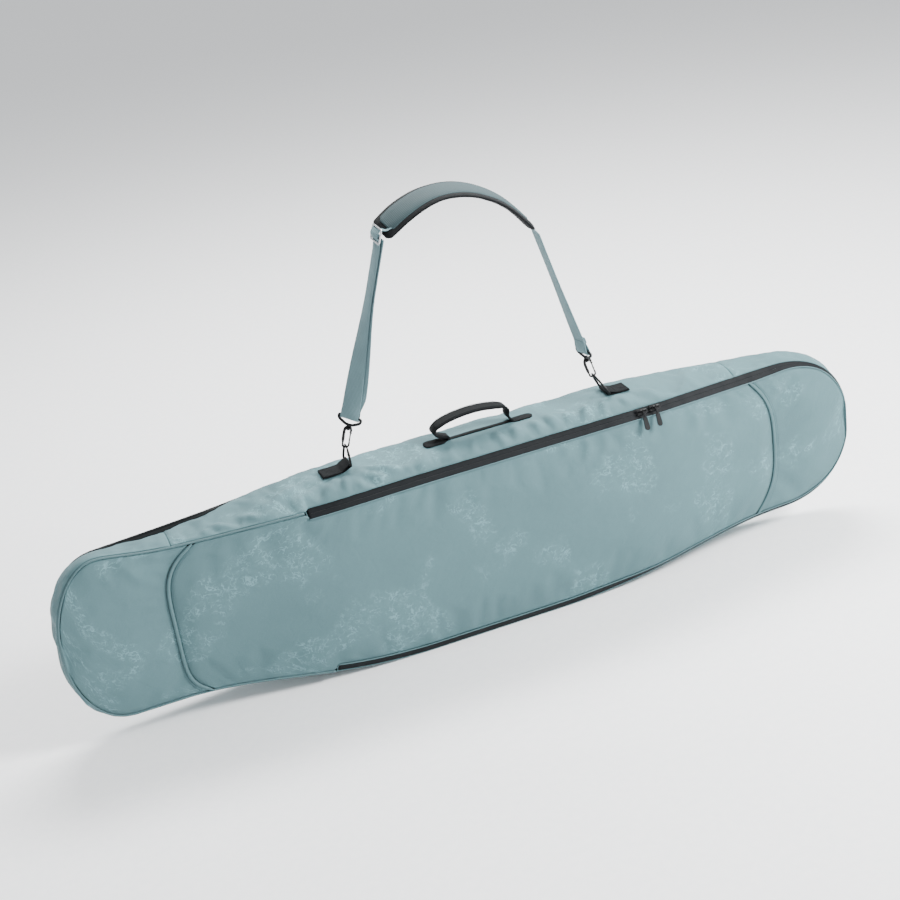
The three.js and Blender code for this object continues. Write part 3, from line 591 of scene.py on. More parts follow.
def webbing(name, colour, specular=0.2):
    """Ribbed webbing: ribs across its length and rows of yarn along it, with painted highlight on the ribs
    and painted shade in the hollows.
    """
    s = Shader(name)
    at = s.places(True)
    ribs, rows = s.ribs(at, 0, 0.0022), s.ribs(at, 1, 0.0031)
    weave = s.math("MULTIPLY", s.math("MULTIPLY_ADD", rows, 0.35, 0.65), ribs)
    fuzz = s.noise(at, 700.0, 2.0, 0.6)
    worn = s.noise(at, 26.0, 3.0, 0.5)
    # Painted light and shade: the tops of the ribs are lighter and the hollows between them darker.
    tone = s.mix(s.band(weave, 0.1, 0.8), shade(colour, 0.66), shade(colour, 1.16))
    tone = s.tint(tone, s.band(worn, 0.45, 0.8), 0.3, shade(colour, 1.35))
    normal = s.bump(fuzz, 0.0002, 0.5)
    normal = s.bump(weave, 0.00045, 0.9, normal)
    glossy = s.math("MULTIPLY_ADD", s.band(worn, 0.2, 0.8), 0.14, 0.6)
    return s.finish(tone, glossy, normal, sheen=0.02, specular=specular)


def coated_tape(name, colour):
    """Water-repellent zip tape: a smooth film over a fine knit."""
    s = Shader(name)
    at = s.places(True)
    knit = s.math("MAXIMUM", s.ribs(at, 0, 0.0009), s.ribs(at, 1, 0.0006))
    grain = s.noise(at, 300.0, 3.0, 0.6)
    scuffs = s.band(s.noise(at, 30.0, 5.0, 0.65), 0.5, 0.75)
    tone = s.mix(s.band(grain, 0.35, 0.7), shade(colour, 0.85), shade(colour, 1.2))
    tone = s.tint(tone, scuffs, 0.25, shade(colour, 1.7))
    normal = s.bump(knit, 0.0001, 0.6, s.bump(grain, 0.0003, 0.4))
    glossy = s.math("MULTIPLY_ADD", scuffs, 0.18, 0.6)
    return s.finish(tone, glossy, normal, specular=0.12)


def mesh_fabric(name, colour):
    """Spacer mesh: round holes in staggered rows, darkened with painted shade."""
    s = Shader(name)
    at = s.places(True)
    cells = s.tree.nodes.new("ShaderNodeTexVoronoi")
    cells.inputs["Scale"].default_value = 330.0
    cells.inputs["Randomness"].default_value = 0.25
    s.put(cells.inputs["Vector"], at)
    hole = s.band(cells.outputs["Distance"], 0.2, 0.42)
    # Painted shade: the holes are much darker than the mesh around them.
    tone = s.mix(hole, shade(colour, 0.4), shade(colour, 1.25))
    soft = s.noise(at, 60.0, 3.0, 0.5)
    tone = s.tint(tone, soft, 0.3, shade(colour, 1.5))
    normal = s.bump(hole, 0.0006, 0.8)
    return s.finish(tone, 0.8, normal, sheen=0.03)


def lacquered(name, colour):
    """Black-coated wire or casting, worn a little."""
    s = Shader(name)
    at = s.places(False)
    grain = s.noise(at, 900.0, 2.0, 0.5)
    wear = s.band(s.noise(at, 120.0, 5.0, 0.7), 0.58, 0.72)
    tone = s.tint(shade(colour, 1.0), wear, 0.35, shade(colour, 3.2))
    glossy = s.math("MULTIPLY_ADD", wear, 0.2, 0.32)
    return s.finish(tone, glossy, s.bump(grain, 0.00012, 0.5), metallic=0.5, coat=0.15)


def bare_steel(name, colour):
    s = Shader(name)
    at = s.places(False)
    stretched = s.add("Mapping", Vector=at, Scale=(60.0, 900.0, 60.0))
    brushed = s.noise(stretched, 1.0, 3.0, 0.6)
    tone = s.mix(s.band(brushed, 0.3, 0.7), shade(colour, 0.8), shade(colour, 1.1))
    glossy = s.math("MULTIPLY_ADD", brushed, 0.2, 0.18)
    return s.finish(tone, glossy, s.bump(brushed, 0.00005, 0.5), metallic=1.0)


def moulded(name, colour):
    """Moulded nylon with a fine spark-eroded grain."""
    s = Shader(name)
    at = s.places(False)
    grain = s.noise(at, 1400.0, 2.0, 0.6)
    flow = s.noise(at, 80.0, 3.0, 0.5)
    tone = s.mix(s.band(flow, 0.3, 0.7), shade(colour, 0.85), shade(colour, 1.3))
    glossy = s.math("MULTIPLY_ADD", grain, 0.15, 0.45)
    return s.finish(tone, glossy, s.bump(grain, 0.00015, 0.6))


def foam_look(name, colour):
    s = Shader(name)
    at = s.places(False)
    cells = s.tree.nodes.new("ShaderNodeTexVoronoi")
    cells.inputs["Scale"].default_value = 900.0
    s.put(cells.inputs["Vector"], at)
    # Painted shade: each cell is darker at its middle, where the bump sinks it into a pit.
    tone = s.mix(s.band(cells.outputs["Distance"], 0.1, 0.6), shade(colour, 0.75), shade(colour, 1.1))
    return s.finish(tone, 0.9, s.bump(cells.outputs["Distance"], 0.0004, 0.7))


TEAL = (0.080, 0.152, 0.166)
BLACK = (0.0065, 0.0080, 0.0090)

LOOK = {
    "front": woven("front_cloth", TEAL, printed=True),
    "gusset": woven("gusset_cloth", TEAL, printed=True),
    # The piping's teal is darker than the front's: painted shade for the dark line along the cord.
    "piping": woven("piping_cloth", shade(TEAL, 0.85)[:3], rough=0.5),
    "welt": woven("welt_cloth", shade(TEAL, 0.92)[:3], rough=0.55),
    "back": woven("back_cloth", BLACK, rough=0.6),
    "binding": webbing("binding_tape", shade(BLACK, 0.8)[:3], specular=0.1),
    "lining": woven("lining_cloth", (0.04, 0.043, 0.046), period=0.0007),
    "foam": foam_look("foam_sheet", (0.36, 0.36, 0.35)),
    "zip": coated_tape("zip_film", (0.0046, 0.0060, 0.0072)),
    "black_webbing": webbing("black_webbing", (0.0050, 0.0062, 0.0070), specular=0.08),
    "teal_webbing": webbing("teal_webbing", (0.150, 0.245, 0.268)),
    # The pad's band is the same teal webbing as the strap's legs, coloured far darker: painted shade.
    "pad_band": webbing("pad_band", (0.044, 0.074, 0.081)),
    "pad": mesh_fabric("pad_mesh", (0.0060, 0.0070, 0.0078)),
    "thread": webbing("thread", (0.05, 0.09, 0.10)),
    "black_thread": webbing("black_thread", (0.012, 0.014, 0.015)),
    "black_metal": lacquered("black_metal", (0.006, 0.0065, 0.007)),
    "steel": bare_steel("steel", (0.62, 0.64, 0.66)),
    "plastic": moulded("black_nylon", (0.0065, 0.0072, 0.008)),
}


def dress(made, nodes=(), body=None):
    """Hides the CAD nodes that a piece stands for and attaches it to the body that it moves with."""
    if nodes:
        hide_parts(*nodes)
    if body:
        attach(made, body)
    return made


def roll_with_flap(made):
    """Bakes the piece's transform into its mesh; the cloth is not turned towards the flap here."""
    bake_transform(made)
    return made


# --------------------------------------------------------- front panels

EDGE_DIP = 0.0026         # how far a sewn edge sinks
DIP_REACH = 0.009
END_PART = 0.7            # an edge further out than this is a rounded end of the bag


def shares_for(start, stop, count, marks):
    """Even shares from 0 to 1, and one for each marked place between start and stop."""
    shares = np.linspace(0, 1, count + 1)
    found = [(m - start) / (stop - start) for m in marks if start < m < stop]
    kept = [s for s in shares if s in (0, 1) or all(abs(s - f) > 0.35 / count for f in found)]
    return np.array(sorted(kept + found))


def front_grid(start, stop, margin, depth, step, marks=(), facing=-1):
    """Places over the front (or back, facing 1) between two edges, and each one's distance
    from the lower or upper edge and from the two side edges."""
    first, last = float(start(1.0)), float(stop(1.0))
    tips = [edge for edge in (first, last) if abs(edge) > END_PART]
    marks = [*marks, *(tip - math.copysign(by, tip) for tip in tips for by in (0.0008, 0.0030))]
    shares = shares_for(first, last, max(2, round((last - first) / step)), marks)
    v = np.linspace(0, 1, max(3, round(0.36 / step)))
    x = start(v)[None, :] + (stop(v) - start(v))[None, :] * shares[:, None]
    low = edge_height(x, margin(x, False), False)
    high = edge_height(x, margin(x, True), True) - (front_drop(x) if facing < 0 else 0)
    z = lerp(low, high, v[None, :])
    for column, side in ((0, -1), (-1, 1)):
        edge = x[column] * side
        if abs(edge[0] - edge[-1]) < 1e-9 and edge[0] > END_PART:
            inset = float(margin(x[column, :1], True)[0])
            shift = OUTLINE.side_x(z[column], inset, side) - x[column]
            x = x + shift[None, :] * np.exp(-(np.abs(x - x[column][None, :]) / 0.03) ** 2)
    y = -(half_thick(x) - depth) if facing < 0 else back_y(x) - depth
    places = np.stack([x, y + 0 * z, z], axis=-1)
    to_rim = np.minimum(z - low, high - z)
    to_side = np.minimum(x - start(v)[None, :], stop(v)[None, :] - x)
    return places, to_rim, to_side


def edge_height(x, gap, upper):
    """Height of the outline moved inwards by a margin that may change with x."""
    inside = [OUTLINE.edge_z(x, m, upper) for m in (CORD_CUT, ZIP_CUT)]
    share = (gap - CORD_CUT) / (ZIP_CUT - CORD_CUT)
    return lerp(inside[0], inside[1], share)


def end_x(margin):
    return HALF_LENGTH - margin


def puckers(along, away, reach, seed, scale=30.0):
    """Small creases square to an edge, which fade away from it."""
    field = np.stack([along, away * 0.22, 0 * along], axis=-1)
    wide = np.stack([along, away * 0.4, 0 * along], axis=-1)
    ripples = wave_noise(field, scale, seed) + 0.8 * wave_noise(wide, scale * 0.42, seed + 3)
    return ripples * np.exp(-away / reach)


def crease(px, py, start, stop, width, height):
    """Ridge from start to stop in flat coordinates, higher in its middle."""
    start, stop = np.array(start, float), np.array(stop, float)
    run = stop - start
    t = ((px - start[0]) * run[0] + (py - start[1]) * run[1]) / (run @ run)
    away = np.hypot(px - start[0] - t * run[0], py - start[1] - t * run[1])
    along = np.clip(1 - np.abs(2 * t - 1), 0, 1) ** 0.7
    return height * along * np.exp(-(away / width) ** 2)


def make_front(name, start, stop, seed, marks=(), creases=()):
    """A padded front panel, swollen by the simulation and creased along the listed folds."""
    places, to_rim, to_side = front_grid(start, stop, front_margin, 0.0, GRID, marks)
    x, z = places[..., 0], places[..., 2]
    quiet = ease(to_rim, 0, 0.03) * ease(to_side, 0, 0.02)
    lift = -EDGE_DIP * np.exp(-np.minimum(to_rim, to_side) / DIP_REACH)
    lift += 0.0011 * wave_noise(places, 9.0, seed) * quiet
    lift += 0.0013 * puckers(x, to_rim, 0.045, seed + 1) * ease(to_rim, 0, 0.006)
    places[..., 1] -= lift
    made = grid_object(name, places, LOOK["front"])
    places = billow(made, places, rim_points(x.shape), pressure=0.8, spare=0.006, cap=0.007)
    folds = 1.8 * sum(crease(x, z, *fold) for fold in creases) * ease(to_rim, 0, 0.01)
    high = z > END_CENTRE_Z
    folds += 0.0019 * pinch(x, to_rim, seed + 40) * ease(to_rim, 0, 0.006) * np.where(high, 1.0, 0.7)
    places[..., 1] -= folds
    set_places(made, places)
    return thicken(made, CLOTH_THICK)


LEFT_FRONT_CREASES = [
    ((-0.70, 0.372), (-0.665, 0.315), 0.007, 0.0022),
    ((-0.735, 0.368), (-0.72, 0.325), 0.006, 0.0016),
    ((-0.655, 0.370), (-0.60, 0.345), 0.006, 0.0018),
]
CENTRE_CREASES = [
    ((-0.335, 0.362), (-0.345, 0.330), 0.006, 0.0024),
    ((-0.310, 0.352), (-0.36, 0.30), 0.010, 0.0018),
    ((-0.10, 0.362), (-0.15, 0.29), 0.013, 0.0020),
    ((0.02, 0.364), (-0.03, 0.26), 0.012, 0.0016),
    ((0.235, 0.366), (0.215, 0.300), 0.010, 0.0026),
    ((0.275, 0.366), (0.25, 0.290), 0.012, 0.0022),
    ((0.195, 0.366), (0.165, 0.32), 0.008, 0.0016),
    ((0.47, 0.355), (0.475, 0.30), 0.010, 0.0020),
    ((0.08, 0.042), (0.20, 0.085), 0.012, 0.0018),
    ((-0.56, 0.345), (-0.50, 0.335), 0.009, 0.0022),
]
RIGHT_FRONT_CREASES = [
    ((0.655, 0.345), (0.690, 0.31), 0.008, 0.0018),
    ((0.735, 0.335), (0.720, 0.29), 0.008, 0.0016),
]


def seam_edge(seam, offset):
    return lambda v: seam_x(seam, np.asarray(v, float), offset)


def make_front_panels():
    hinge_marks = (HINGE_X - 0.0015, HINGE_X + 0.0015)
    left = make_front("front_left_cloth", fixed(-end_x(CORD_CUT)), seam_edge(LEFT_SEAM, -SEAM_HALF),
                      1, creases=LEFT_FRONT_CREASES)
    centre = make_front("front_centre_cloth", seam_edge(LEFT_SEAM, SEAM_HALF),
                        seam_edge(RIGHT_SEAM, -SEAM_HALF), 2, hinge_marks, CENTRE_CREASES)
    right = make_front("front_right_cloth", seam_edge(RIGHT_SEAM, SEAM_HALF),
                       fixed(end_x(ZIP_CUT * NARROW_ZIP)), 3, creases=RIGHT_FRONT_CREASES)
    dress(left, ["front_left_panel"], "bag")
    dress(centre, ["front_centre_panel_fixed", "flap_centre_panel"])
    roll_with_flap(centre)
    dress(right, ["flap_right_panel"], "flap")


# ------------------------------------------------------------- inner layers

LAYER_MARGIN = 0.036
FOAM_DEPTH = 0.0045
FOAM_THICK = 0.0045
LINING_DEPTH = 0.0100
LINING_THICK = 0.0010


def inner_sheet(name, look, depth, thick, facing, seed):
    """A layer behind the front or back cloth, from end to end of the bag."""
    margin = lambda x, upper: LAYER_MARGIN + 0 * x
    end = end_x(LAYER_MARGIN)
    marks = np.linspace(HINGE_X, ROLL_END_X, 9)
    places, to_rim, _ = front_grid(fixed(-end), fixed(end), margin, depth, 0.018, marks, facing)
    ripple = 0.0006 * wave_noise(places, 25.0, seed) * ease(to_rim, 0, 0.02)
    places[..., 1] += facing * ripple
    made = grid_object(name, places, look, flip=facing > 0)
    return thicken(made, thick)


def make_inner_layers():
    lining = inner_sheet("front_lining_cloth", LOOK["lining"], LINING_DEPTH, LINING_THICK, -1, 21)
    roll_with_flap(dress(lining, ["front_fixed_lining", "flap_lining"]))
    foam = inner_sheet("front_foam_sheet", LOOK["foam"], FOAM_DEPTH, FOAM_THICK, -1, 22)
    roll_with_flap(dress(foam, ["front_fixed_foam", "flap_foam"]))
    back = inner_sheet("back_lining_cloth", LOOK["lining"], LINING_DEPTH, LINING_THICK, 1, 23)
    dress(back, ["back_lining"], "bag")
    foam = inner_sheet("back_foam_sheet", LOOK["foam"], FOAM_DEPTH, FOAM_THICK, 1, 24)
    dress(foam, ["back_foam"], "bag")


# ------------------------------------------------------------------ gussets

BACK_LIP = 0.014          # how far the gusset sinks below the back's rim near the left end
BACK_TUCK = 0.0030        # how far the gusset runs under the back's binding
LINING_GAP = 0.0085       # from the gusset's outside to its lining
FOLD_HEIGHT = 0.0052
# Where the top gusset hangs lower, as (x, reach along x, depth).
SAGS = [(-0.155, 0.050, 0.0040), (0.225, 0.045, 0.0040), (-0.42, 0.09, 0.0035), (0.46, 0.09, 0.0035)]


def back_lip(x, z):
    """Step up from the gusset to the back's rim, above the left end only."""
    return BACK_LIP * ease(x, -0.82, -0.62) * (1 - ease(x, -0.575, -0.41)) * (z > END_CENTRE_Z)


def gusset_cut(x, oz):
    """How far behind the front the gusset's front edge is, by which way it faces."""
    tuck = lerp(1.0, ZIP_TUCK, ease(-oz, -0.1, 0.7)) * lerp(1.0, 0.7, ease(x, 0.66, 0.80) * (oz > 0))
    return lerp(CORD_CUT, ZIP_CUT * tuck, ease(x, HINGE_X - 0.004, HINGE_X + 0.004))


def gusset_grid(first, last, step, depth=0.0):
    """Places over the gusset between two distances along the outline, and each one's
    outward direction, distance from its front edge and distance from its back edge."""
    s = shares_for(first, last, max(2, round((last - first) / step)), hinge_distances())
    s = first + (last - first) * s
    x, z, ox, oz = OUTLINE.meet(s % OUTLINE.length)
    front = -half_thick(x) + gusset_cut(x, oz)
    back = back_y(x) - BINDING_CUT + BACK_TUCK
    rows = max(4, round(0.13 / step))
    w = np.linspace(0, 1, rows + 1)
    y = front[:, None] + (back - front)[:, None] * w
    upper = (z > END_CENTRE_Z).astype(float)
    crown = (ARCH * fullness(x) * upper)[:, None] * (1 - np.abs(2 * w - 1) ** 2.8)
    rounded = (0.0035 * (1 - fullness(x) * upper) * (1 - belly(x) * (1 - upper)))[:, None]
    sink = sum(by * np.exp(-((x - at) / reach) ** 2) for at, reach, by in SAGS) * upper
    bulge = crown + (rounded - sink[:, None]) * (1 - (2 * w - 1) ** 2) - depth
    bulge = bulge - back_lip(x, z)[:, None] * w ** 2
    out = np.stack([ox, 0 * ox, oz], axis=-1)[:, None, :] + np.zeros((1, rows + 1, 1))
    places = np.stack([x[:, None] + 0 * y, y, z[:, None] + 0 * y], axis=-1) + out * bulge[..., None]
    places[..., 2] -= front_drop(x)[:, None] * upper[:, None] * (1 - w) ** 1.5
    return places, out, y - front[:, None], back[:, None] - y, s


def hinge_distances():
    return [OUTLINE.distance(HINGE_X + by, upper) for upper in (True, False) for by in (-0.004, 0, 0.004)]


# Creases of the top gusset as ((x, y), (x, y), width, height), seen from above.
TOP_CREASES = [
    ((-0.225, -0.012), (-0.120, -0.052), 0.008, 0.0050),
    ((-0.228, -0.022), (-0.175, -0.060), 0.007, 0.0042),
    ((-0.245, -0.024), (-0.262, -0.062), 0.007, 0.0045),
    ((-0.262, -0.024), (-0.312, -0.062), 0.008, 0.0040),
    ((-0.285, -0.020), (-0.365, -0.055), 0.008, 0.0034),
    ((-0.30, 0.0), (-0.42, -0.035), 0.011, 0.0036),
    ((-0.42, -0.058), (-0.47, -0.020), 0.008, 0.0028),
    ((-0.48, -0.052), (-0.53, -0.012), 0.008, 0.0026),
    ((-0.56, -0.045), (-0.50, -0.030), 0.007, 0.0034),
    ((-0.075, -0.024), (-0.115, -0.061), 0.010, 0.0034),
    ((-0.03, -0.024), (-0.045, -0.061), 0.009, 0.0036),
    ((0.015, -0.024), (0.000, -0.061), 0.009, 0.0026),
    ((0.060, -0.024), (0.070, -0.061), 0.008, 0.0038),
    ((0.105, -0.024), (0.095, -0.061), 0.009, 0.0030),
    ((0.135, -0.022), (0.150, -0.061), 0.007, 0.0044),
    ((0.170, -0.018), (0.182, -0.061), 0.008, 0.0038),
    ((0.215, -0.018), (0.205, -0.061), 0.008, 0.0036),
    ((0.262, -0.020), (0.235, -0.061), 0.008, 0.0048),
    ((0.292, -0.022), (0.282, -0.062), 0.007, 0.0042),
    ((0.322, -0.022), (0.338, -0.060), 0.008, 0.0034),
    ((0.36, -0.015), (0.42, -0.050), 0.010, 0.0030),
    ((0.47, -0.045), (0.50, 0.01), 0.012, 0.0022),
]
STRIP_X = (-0.081, 0.150)
STRIP_HALF = 0.020


def held_flat(places):
    """Where the handle's strip and the tabs are sewn to the top gusset."""
    x, y = places[..., 0], np.abs(places[..., 1])
    strip = (x > STRIP_X[0] - 0.006) & (x < STRIP_X[1] + 0.006) & (y < STRIP_HALF + 0.004)
    left = (x > -0.292) & (x < -0.228) & (y < 0.022)
    right = (x > 0.287) & (x < 0.359) & (y < 0.022)
    return strip | left | right


def pinch(along, away, seed):
    """Sharp gathers that start at the zip's stitching and die away from it."""
    away = np.maximum(away, 0)
    lean = 0.45 * wave_noise(np.stack([along * 0.5, 0 * along, 0 * along], axis=-1), 14.0, seed + 9)
    field = np.stack([along + lean * away, 0 * away, 0 * along], axis=-1)
    rough = wave_noise(field, 34.0, seed) + 0.5 * wave_noise(field, 75.0, seed + 1)
    reach = 0.018 + 0.022 * (0.5 + 0.5 * wave_noise(field, 17.0, seed + 2))
    sharp = np.sign(rough) * np.abs(rough) ** 1.5 * 1.6
    return sharp * np.exp(-(away / reach) ** 1.6)


def make_gusset(name, node, first, last, seed, creases=()):
    places, out, from_front, from_back, s = gusset_grid(first, last, step=0.0055 if creases else GRID)
    x, y = places[..., 0], places[..., 1]
    ends = np.minimum(s - first, last - s)[:, None] + 0 * y
    from_rim = np.minimum(from_front, from_back)
    flat = held_flat(places) if creases else np.zeros(x.shape, bool)
    loose = ease(from_rim, 0, 0.012) * ease(ends, 0, 0.02) * ~flat
    lift = -0.0018 * (np.exp(-from_rim / 0.006) + np.exp(-ends / 0.005))
    lift += 0.0016 * wave_noise(places, 14.0, seed) * loose
    along = s[:, None] + 0 * y
    lift += 0.0030 * puckers(along, from_front, 0.034, seed + 1, 26.0) * ease(from_front, 0, 0.008) * loose
    lift += 0.0018 * puckers(along, from_back, 0.025, seed + 2, 24.0) * ease(from_back, 0, 0.008) * loose
    places = places + out * lift[..., None]
    made = grid_object(name, places, LOOK["gusset"], flip=True)
    sewn = flat | rim_points(x.shape)
    places = billow(made, places, sewn, pressure=0.35, spare=0.012, cap=0.0028)
    folds = 2.1 * sum(crease(x, y, *fold) for fold in creases) * loose if creases else 0 * x
    fold_height = FOLD_HEIGHT if creases else 0.45 * FOLD_HEIGHT
    folds = folds + fold_height * pinch(along, from_front, seed + 5) * ease(from_front, 0, 0.007) * ~flat
    places = places + out * folds[..., None]
    places[..., 2] = np.maximum(places[..., 2], CLOTH_THICK + 0.0004)
    set_places(made, places)
    thicken(made, CLOTH_THICK)
    dress(made, [node], "bag")


def make_gussets():
    left, right = GUSSET_SPLIT["left"], GUSSET_SPLIT["right"]
    top_left, top_right = OUTLINE.distance(left, True), OUTLINE.distance(right, True)
    low_right, low_left = OUTLINE.distance(right, False), OUTLINE.distance(left, False)
    gap = 0.0003
    make_gusset("top_gusset_cloth", "top_gusset", top_left + gap, top_right - gap, 5, TOP_CREASES)
    make_gusset("right_end_cloth", "right_end_gusset", top_right + gap, low_right - gap, 6)
    make_gusset("bottom_gusset_cloth", "bottom_gusset", low_right + gap, low_left - gap, 7)
    make_gusset("left_end_cloth", "left_end_gusset", low_left + gap,
                top_left + OUTLINE.length - gap, 8)


def make_gusset_lining():
    places, out, *_ = gusset_grid(0.0, OUTLINE.length, depth=LINING_GAP, step=0.02)
    places, out = places[:-1, 1:], out[:-1, 1:]
    places = places + out * (0.0008 * wave_noise(places, 22.0, 31))[..., None]
    inner = places - out * LINING_THICK
    sections = np.concatenate([places, inner[:, ::-1]], axis=1)
    made = loft_object("gusset_lining_cloth", sections, LOOK["lining"], ring=True)
    dress(made, ["gusset_lining"], "bag")


# --------------------------------------------------------------------- back


def make_back():
    margin = lambda x, upper: BINDING_CUT + 0 * x
    end = end_x(BINDING_CUT)
    places, to_rim, to_side = front_grid(fixed(-end), fixed(end), margin, 0.0, 0.0095, facing=1)
    x = places[..., 0]
    quiet = ease(to_rim, 0, 0.03) * ease(to_side, 0, 0.03)
    lift = -EDGE_DIP * np.exp(-np.minimum(to_rim, to_side) / DIP_REACH)
    lift += 0.0016 * wave_noise(places, 8.0, 11) * quiet
    lift += 0.0015 * puckers(x, to_rim, 0.05, 12) * ease(to_rim, 0, 0.008)
    places[..., 1] += lift
    made = grid_object("back_cloth", places, LOOK["back"], flip=True)
    places = billow(made, places, rim_points(x.shape), pressure=0.7, spare=0.008, cap=0.006)
    set_places(made, places)
    thicken(made, CLOTH_THICK)
    dress(made, ["back_panel"], "bag")


# ----------------------------------------------------------- cords and edges

RUN_STEP = 0.006          # spacing of the sections of cords that follow the outline


def outline_run(first, last):
    """Even distances along the outline, with the place and outward direction at each."""
    s = np.linspace(first, last, max(8, round((last - first) / RUN_STEP)) + 1)
    return OUTLINE.meet(s % OUTLINE.length)


def make_edge_trim():
    x, z, ox, oz = outline_run(0, OUTLINE.length)
    inset = BINDING_CUT / 2
    path = np.stack([x - ox * inset, back_y(x) - inset, z - oz * inset], axis=-1)[:-1]
    binding = tube("back_binding_cord", path, inset - 0.0003, LOOK["binding"], 12, ring=True)
    dress(binding, ["back_binding"], "bag")
    dress(make_lip_strip(), body="bag")

    low = OUTLINE.distance(HINGE_X - 0.006, False)
    high = OUTLINE.distance(HINGE_X - 0.006, True) + OUTLINE.length
    x, z, ox, oz = outline_run(low, high)
    inset = CORD_CUT / 2
    drop = front_drop(x) * (z > END_CENTRE_Z)
    path = np.stack([x - ox * inset, -half_thick(x) + inset, z - oz * inset - drop], axis=-1)
    cord = tube("front_edge_cord", path, inset - 0.0006, LOOK["piping"], 12)
    dress(cord, ["front_edge_piping"], "bag")


def make_lip_strip():
    """Black cloth that closes the step between the gusset and the raised rim of the back."""
    x, z, ox, oz = outline_run(OUTLINE.distance(-0.815, True), OUTLINE.distance(-0.385, True))
    back = back_y(x) - BINDING_CUT - 0.0005
    rise = back_lip(x, z)
    grid = []
    for share in np.linspace(0, 1, 5):
        out = rise * (share - 1) - 0.0012
        y = back + 0.0035 * share - 0.0012 * math.sin(math.pi * share)
        grid.append(np.stack([x + ox * out, y, z + oz * out], axis=-1))
    made = grid_object("back_lip_cloth", np.stack(grid, axis=1), LOOK["back"], flip=True)
    return thicken(made, 0.0012, levels=0)


def make_welt(name, node, seam, body):
    """The raised double seam between two front panels."""
    v = np.linspace(-0.002, 1.0, 90)
    taper = np.minimum(1, 0.35 + 0.65 * np.minimum(v - v[0], v[-1] - v) / 0.02)[:, None]
    x = seam_x(seam, v, 0.0)
    low = edge_height(x, front_margin(x, False), False)
    high = edge_height(x, front_margin(x, True), True) - front_drop(x)
    path = np.stack([x, -half_thick(x) + 0.0012, lerp(low, high, v)], axis=-1)
    along = unit(np.gradient(path, axis=0))
    across = np.cross(along, [0, 1, 0])
    sections = []
    for angle in np.linspace(0, 2 * math.pi, 16, endpoint=False):
        wide = math.copysign(abs(math.cos(angle)) ** 0.8, math.cos(angle)) * 0.0036
        high_by = -math.sin(angle) * 0.0030
        sections.append(path + (across * wide + np.array([0, 1, 0]) * high_by) * taper)
    made = loft_object(name, np.stack(sections, axis=1), LOOK["welt"])
    dress(made, [node], body)
    for side in (-1, 1):
        row = path + across * (0.0078 * side) + np.array([0, -0.0030, 0])
        thread = stitches(f"{name}_stitch_{'right' if side > 0 else 'left'}", row[2:-2],
                          np.tile([0, -1, 0], (len(row) - 4, 1)), LOOK["thread"])
        dress(thread, body=body)


# ---------------------------------------------------------------------- zip

ZIP_TAPE_THICK = 0.0013


def bevel_point(x, z, ox, oz, depth, sink):
    """A place on the slanted edge that the zip fills, depth across it and sink behind it."""
    x, z, ox, oz = (np.asarray(v, float) for v in (x, z, ox, oz))
    tuck = gusset_cut(x + 0.01, oz) / ZIP_CUT
    share = np.where(z > END_CENTRE_Z, zip_share(x, True), zip_share(x, False))
    inward = depth * share + sink * (2 - tuck) / 2
    drop = front_drop(x) * (z > END_CENTRE_Z)
    y = -half_thick(x) + (ZIP_CUT - depth) * tuck + sink
    return np.stack([x - ox * inward, y, z - oz * inward - drop], axis=-1)


def zip_run():
    return outline_run(OUTLINE.distance(HINGE_X + 0.0004, True),
                       OUTLINE.distance(HINGE_X + 0.0004, False))


def zip_tape(name, near, far):
    """One half of the zip: flat coated tape that meets the other half over the coil."""
    run = zip_run()
    shares = np.linspace(0, 1, 9)
    rim = [bevel_point(*run, lerp(near, far, t), 0.0) for t in shares]
    rim += [bevel_point(*run, lerp(near, far, t), ZIP_TAPE_THICK) for t in shares[::-1]]
    return loft_object(name, np.stack(rim, axis=1), LOOK["zip"])


def zip_nodes(half):
    return [f"zip_{half}_{stretch}" for stretch in ("top", "end", "bottom", "belly")]


def make_zip():
    middle = ZIP_CUT / 2
    body = zip_tape("zip_body_tape", 0.0006, middle - 0.00003)
    dress(body, zip_nodes("body"), "bag")
    flap = zip_tape("zip_flap_tape", middle + 0.00003, ZIP_CUT - 0.0006)
    roll_with_flap(dress(flap, zip_nodes("flap")))
    run = zip_run()
    for name, depth in (("zip_body_coil", middle - 0.0016), ("zip_flap_coil", middle + 0.0016)):
        path = bevel_point(*run, depth, ZIP_TAPE_THICK + 0.0012)
        coil = tube(name, path, 0.0011, LOOK["black_webbing"], 8)
        if "flap" in name:
            roll_with_flap(dress(coil))
        else:
            dress(coil, body="bag")
    fold = tube("gusset_fold", bevel_point(*run, 0.0001, 0.0004), 0.0013, LOOK["welt"], 8)
    dress(fold, body="bag")
    fold = tube("flap_fold", bevel_point(*run, ZIP_CUT - 0.0001, 0.0004), 0.0012, LOOK["welt"], 8)
    roll_with_flap(dress(fold))
    end_x_at = HINGE_X - 0.0012
    for upper, tag in ((True, "top"), (False, "bottom")):
        s = OUTLINE.distance(end_x_at, upper)
        x, z, ox, oz = (float(v) for v in OUTLINE.meet(s))
        line = [bevel_point(x, z, ox, oz, d, 0.0002) for d in np.linspace(0.0008, ZIP_CUT - 0.0006, 10)]
        bar = tube(f"zip_end_{tag}", line, 0.0011, LOOK["piping"], 8, across=(1, 0, 0))
        dress(bar, body="bag")


# ------------------------------------------------------------ carry handle

WEBBING_HALF = 0.019
SINGLE = 0.00085          # half thickness of one layer of webbing
STRIP_Z = 0.4055


def webbing_run(name, path, across, half, thick, look):
    """Webbing along a path; across is its width direction and half its half width."""
    path = np.asarray(path, float)
    along = unit(np.gradient(path, axis=0))
    across = unit(np.broadcast_to(np.asarray(across, float), path.shape))
    across = unit(across - along * np.sum(across * along, axis=1, keepdims=True))
    normal = np.cross(along, across)
    half = np.broadcast_to(np.asarray(half, float), (len(path),))[:, None]
    thick = np.broadcast_to(np.asarray(thick, float), (len(path),))[:, None]
    return ribbon(name, path, across * half, normal * thick, look)


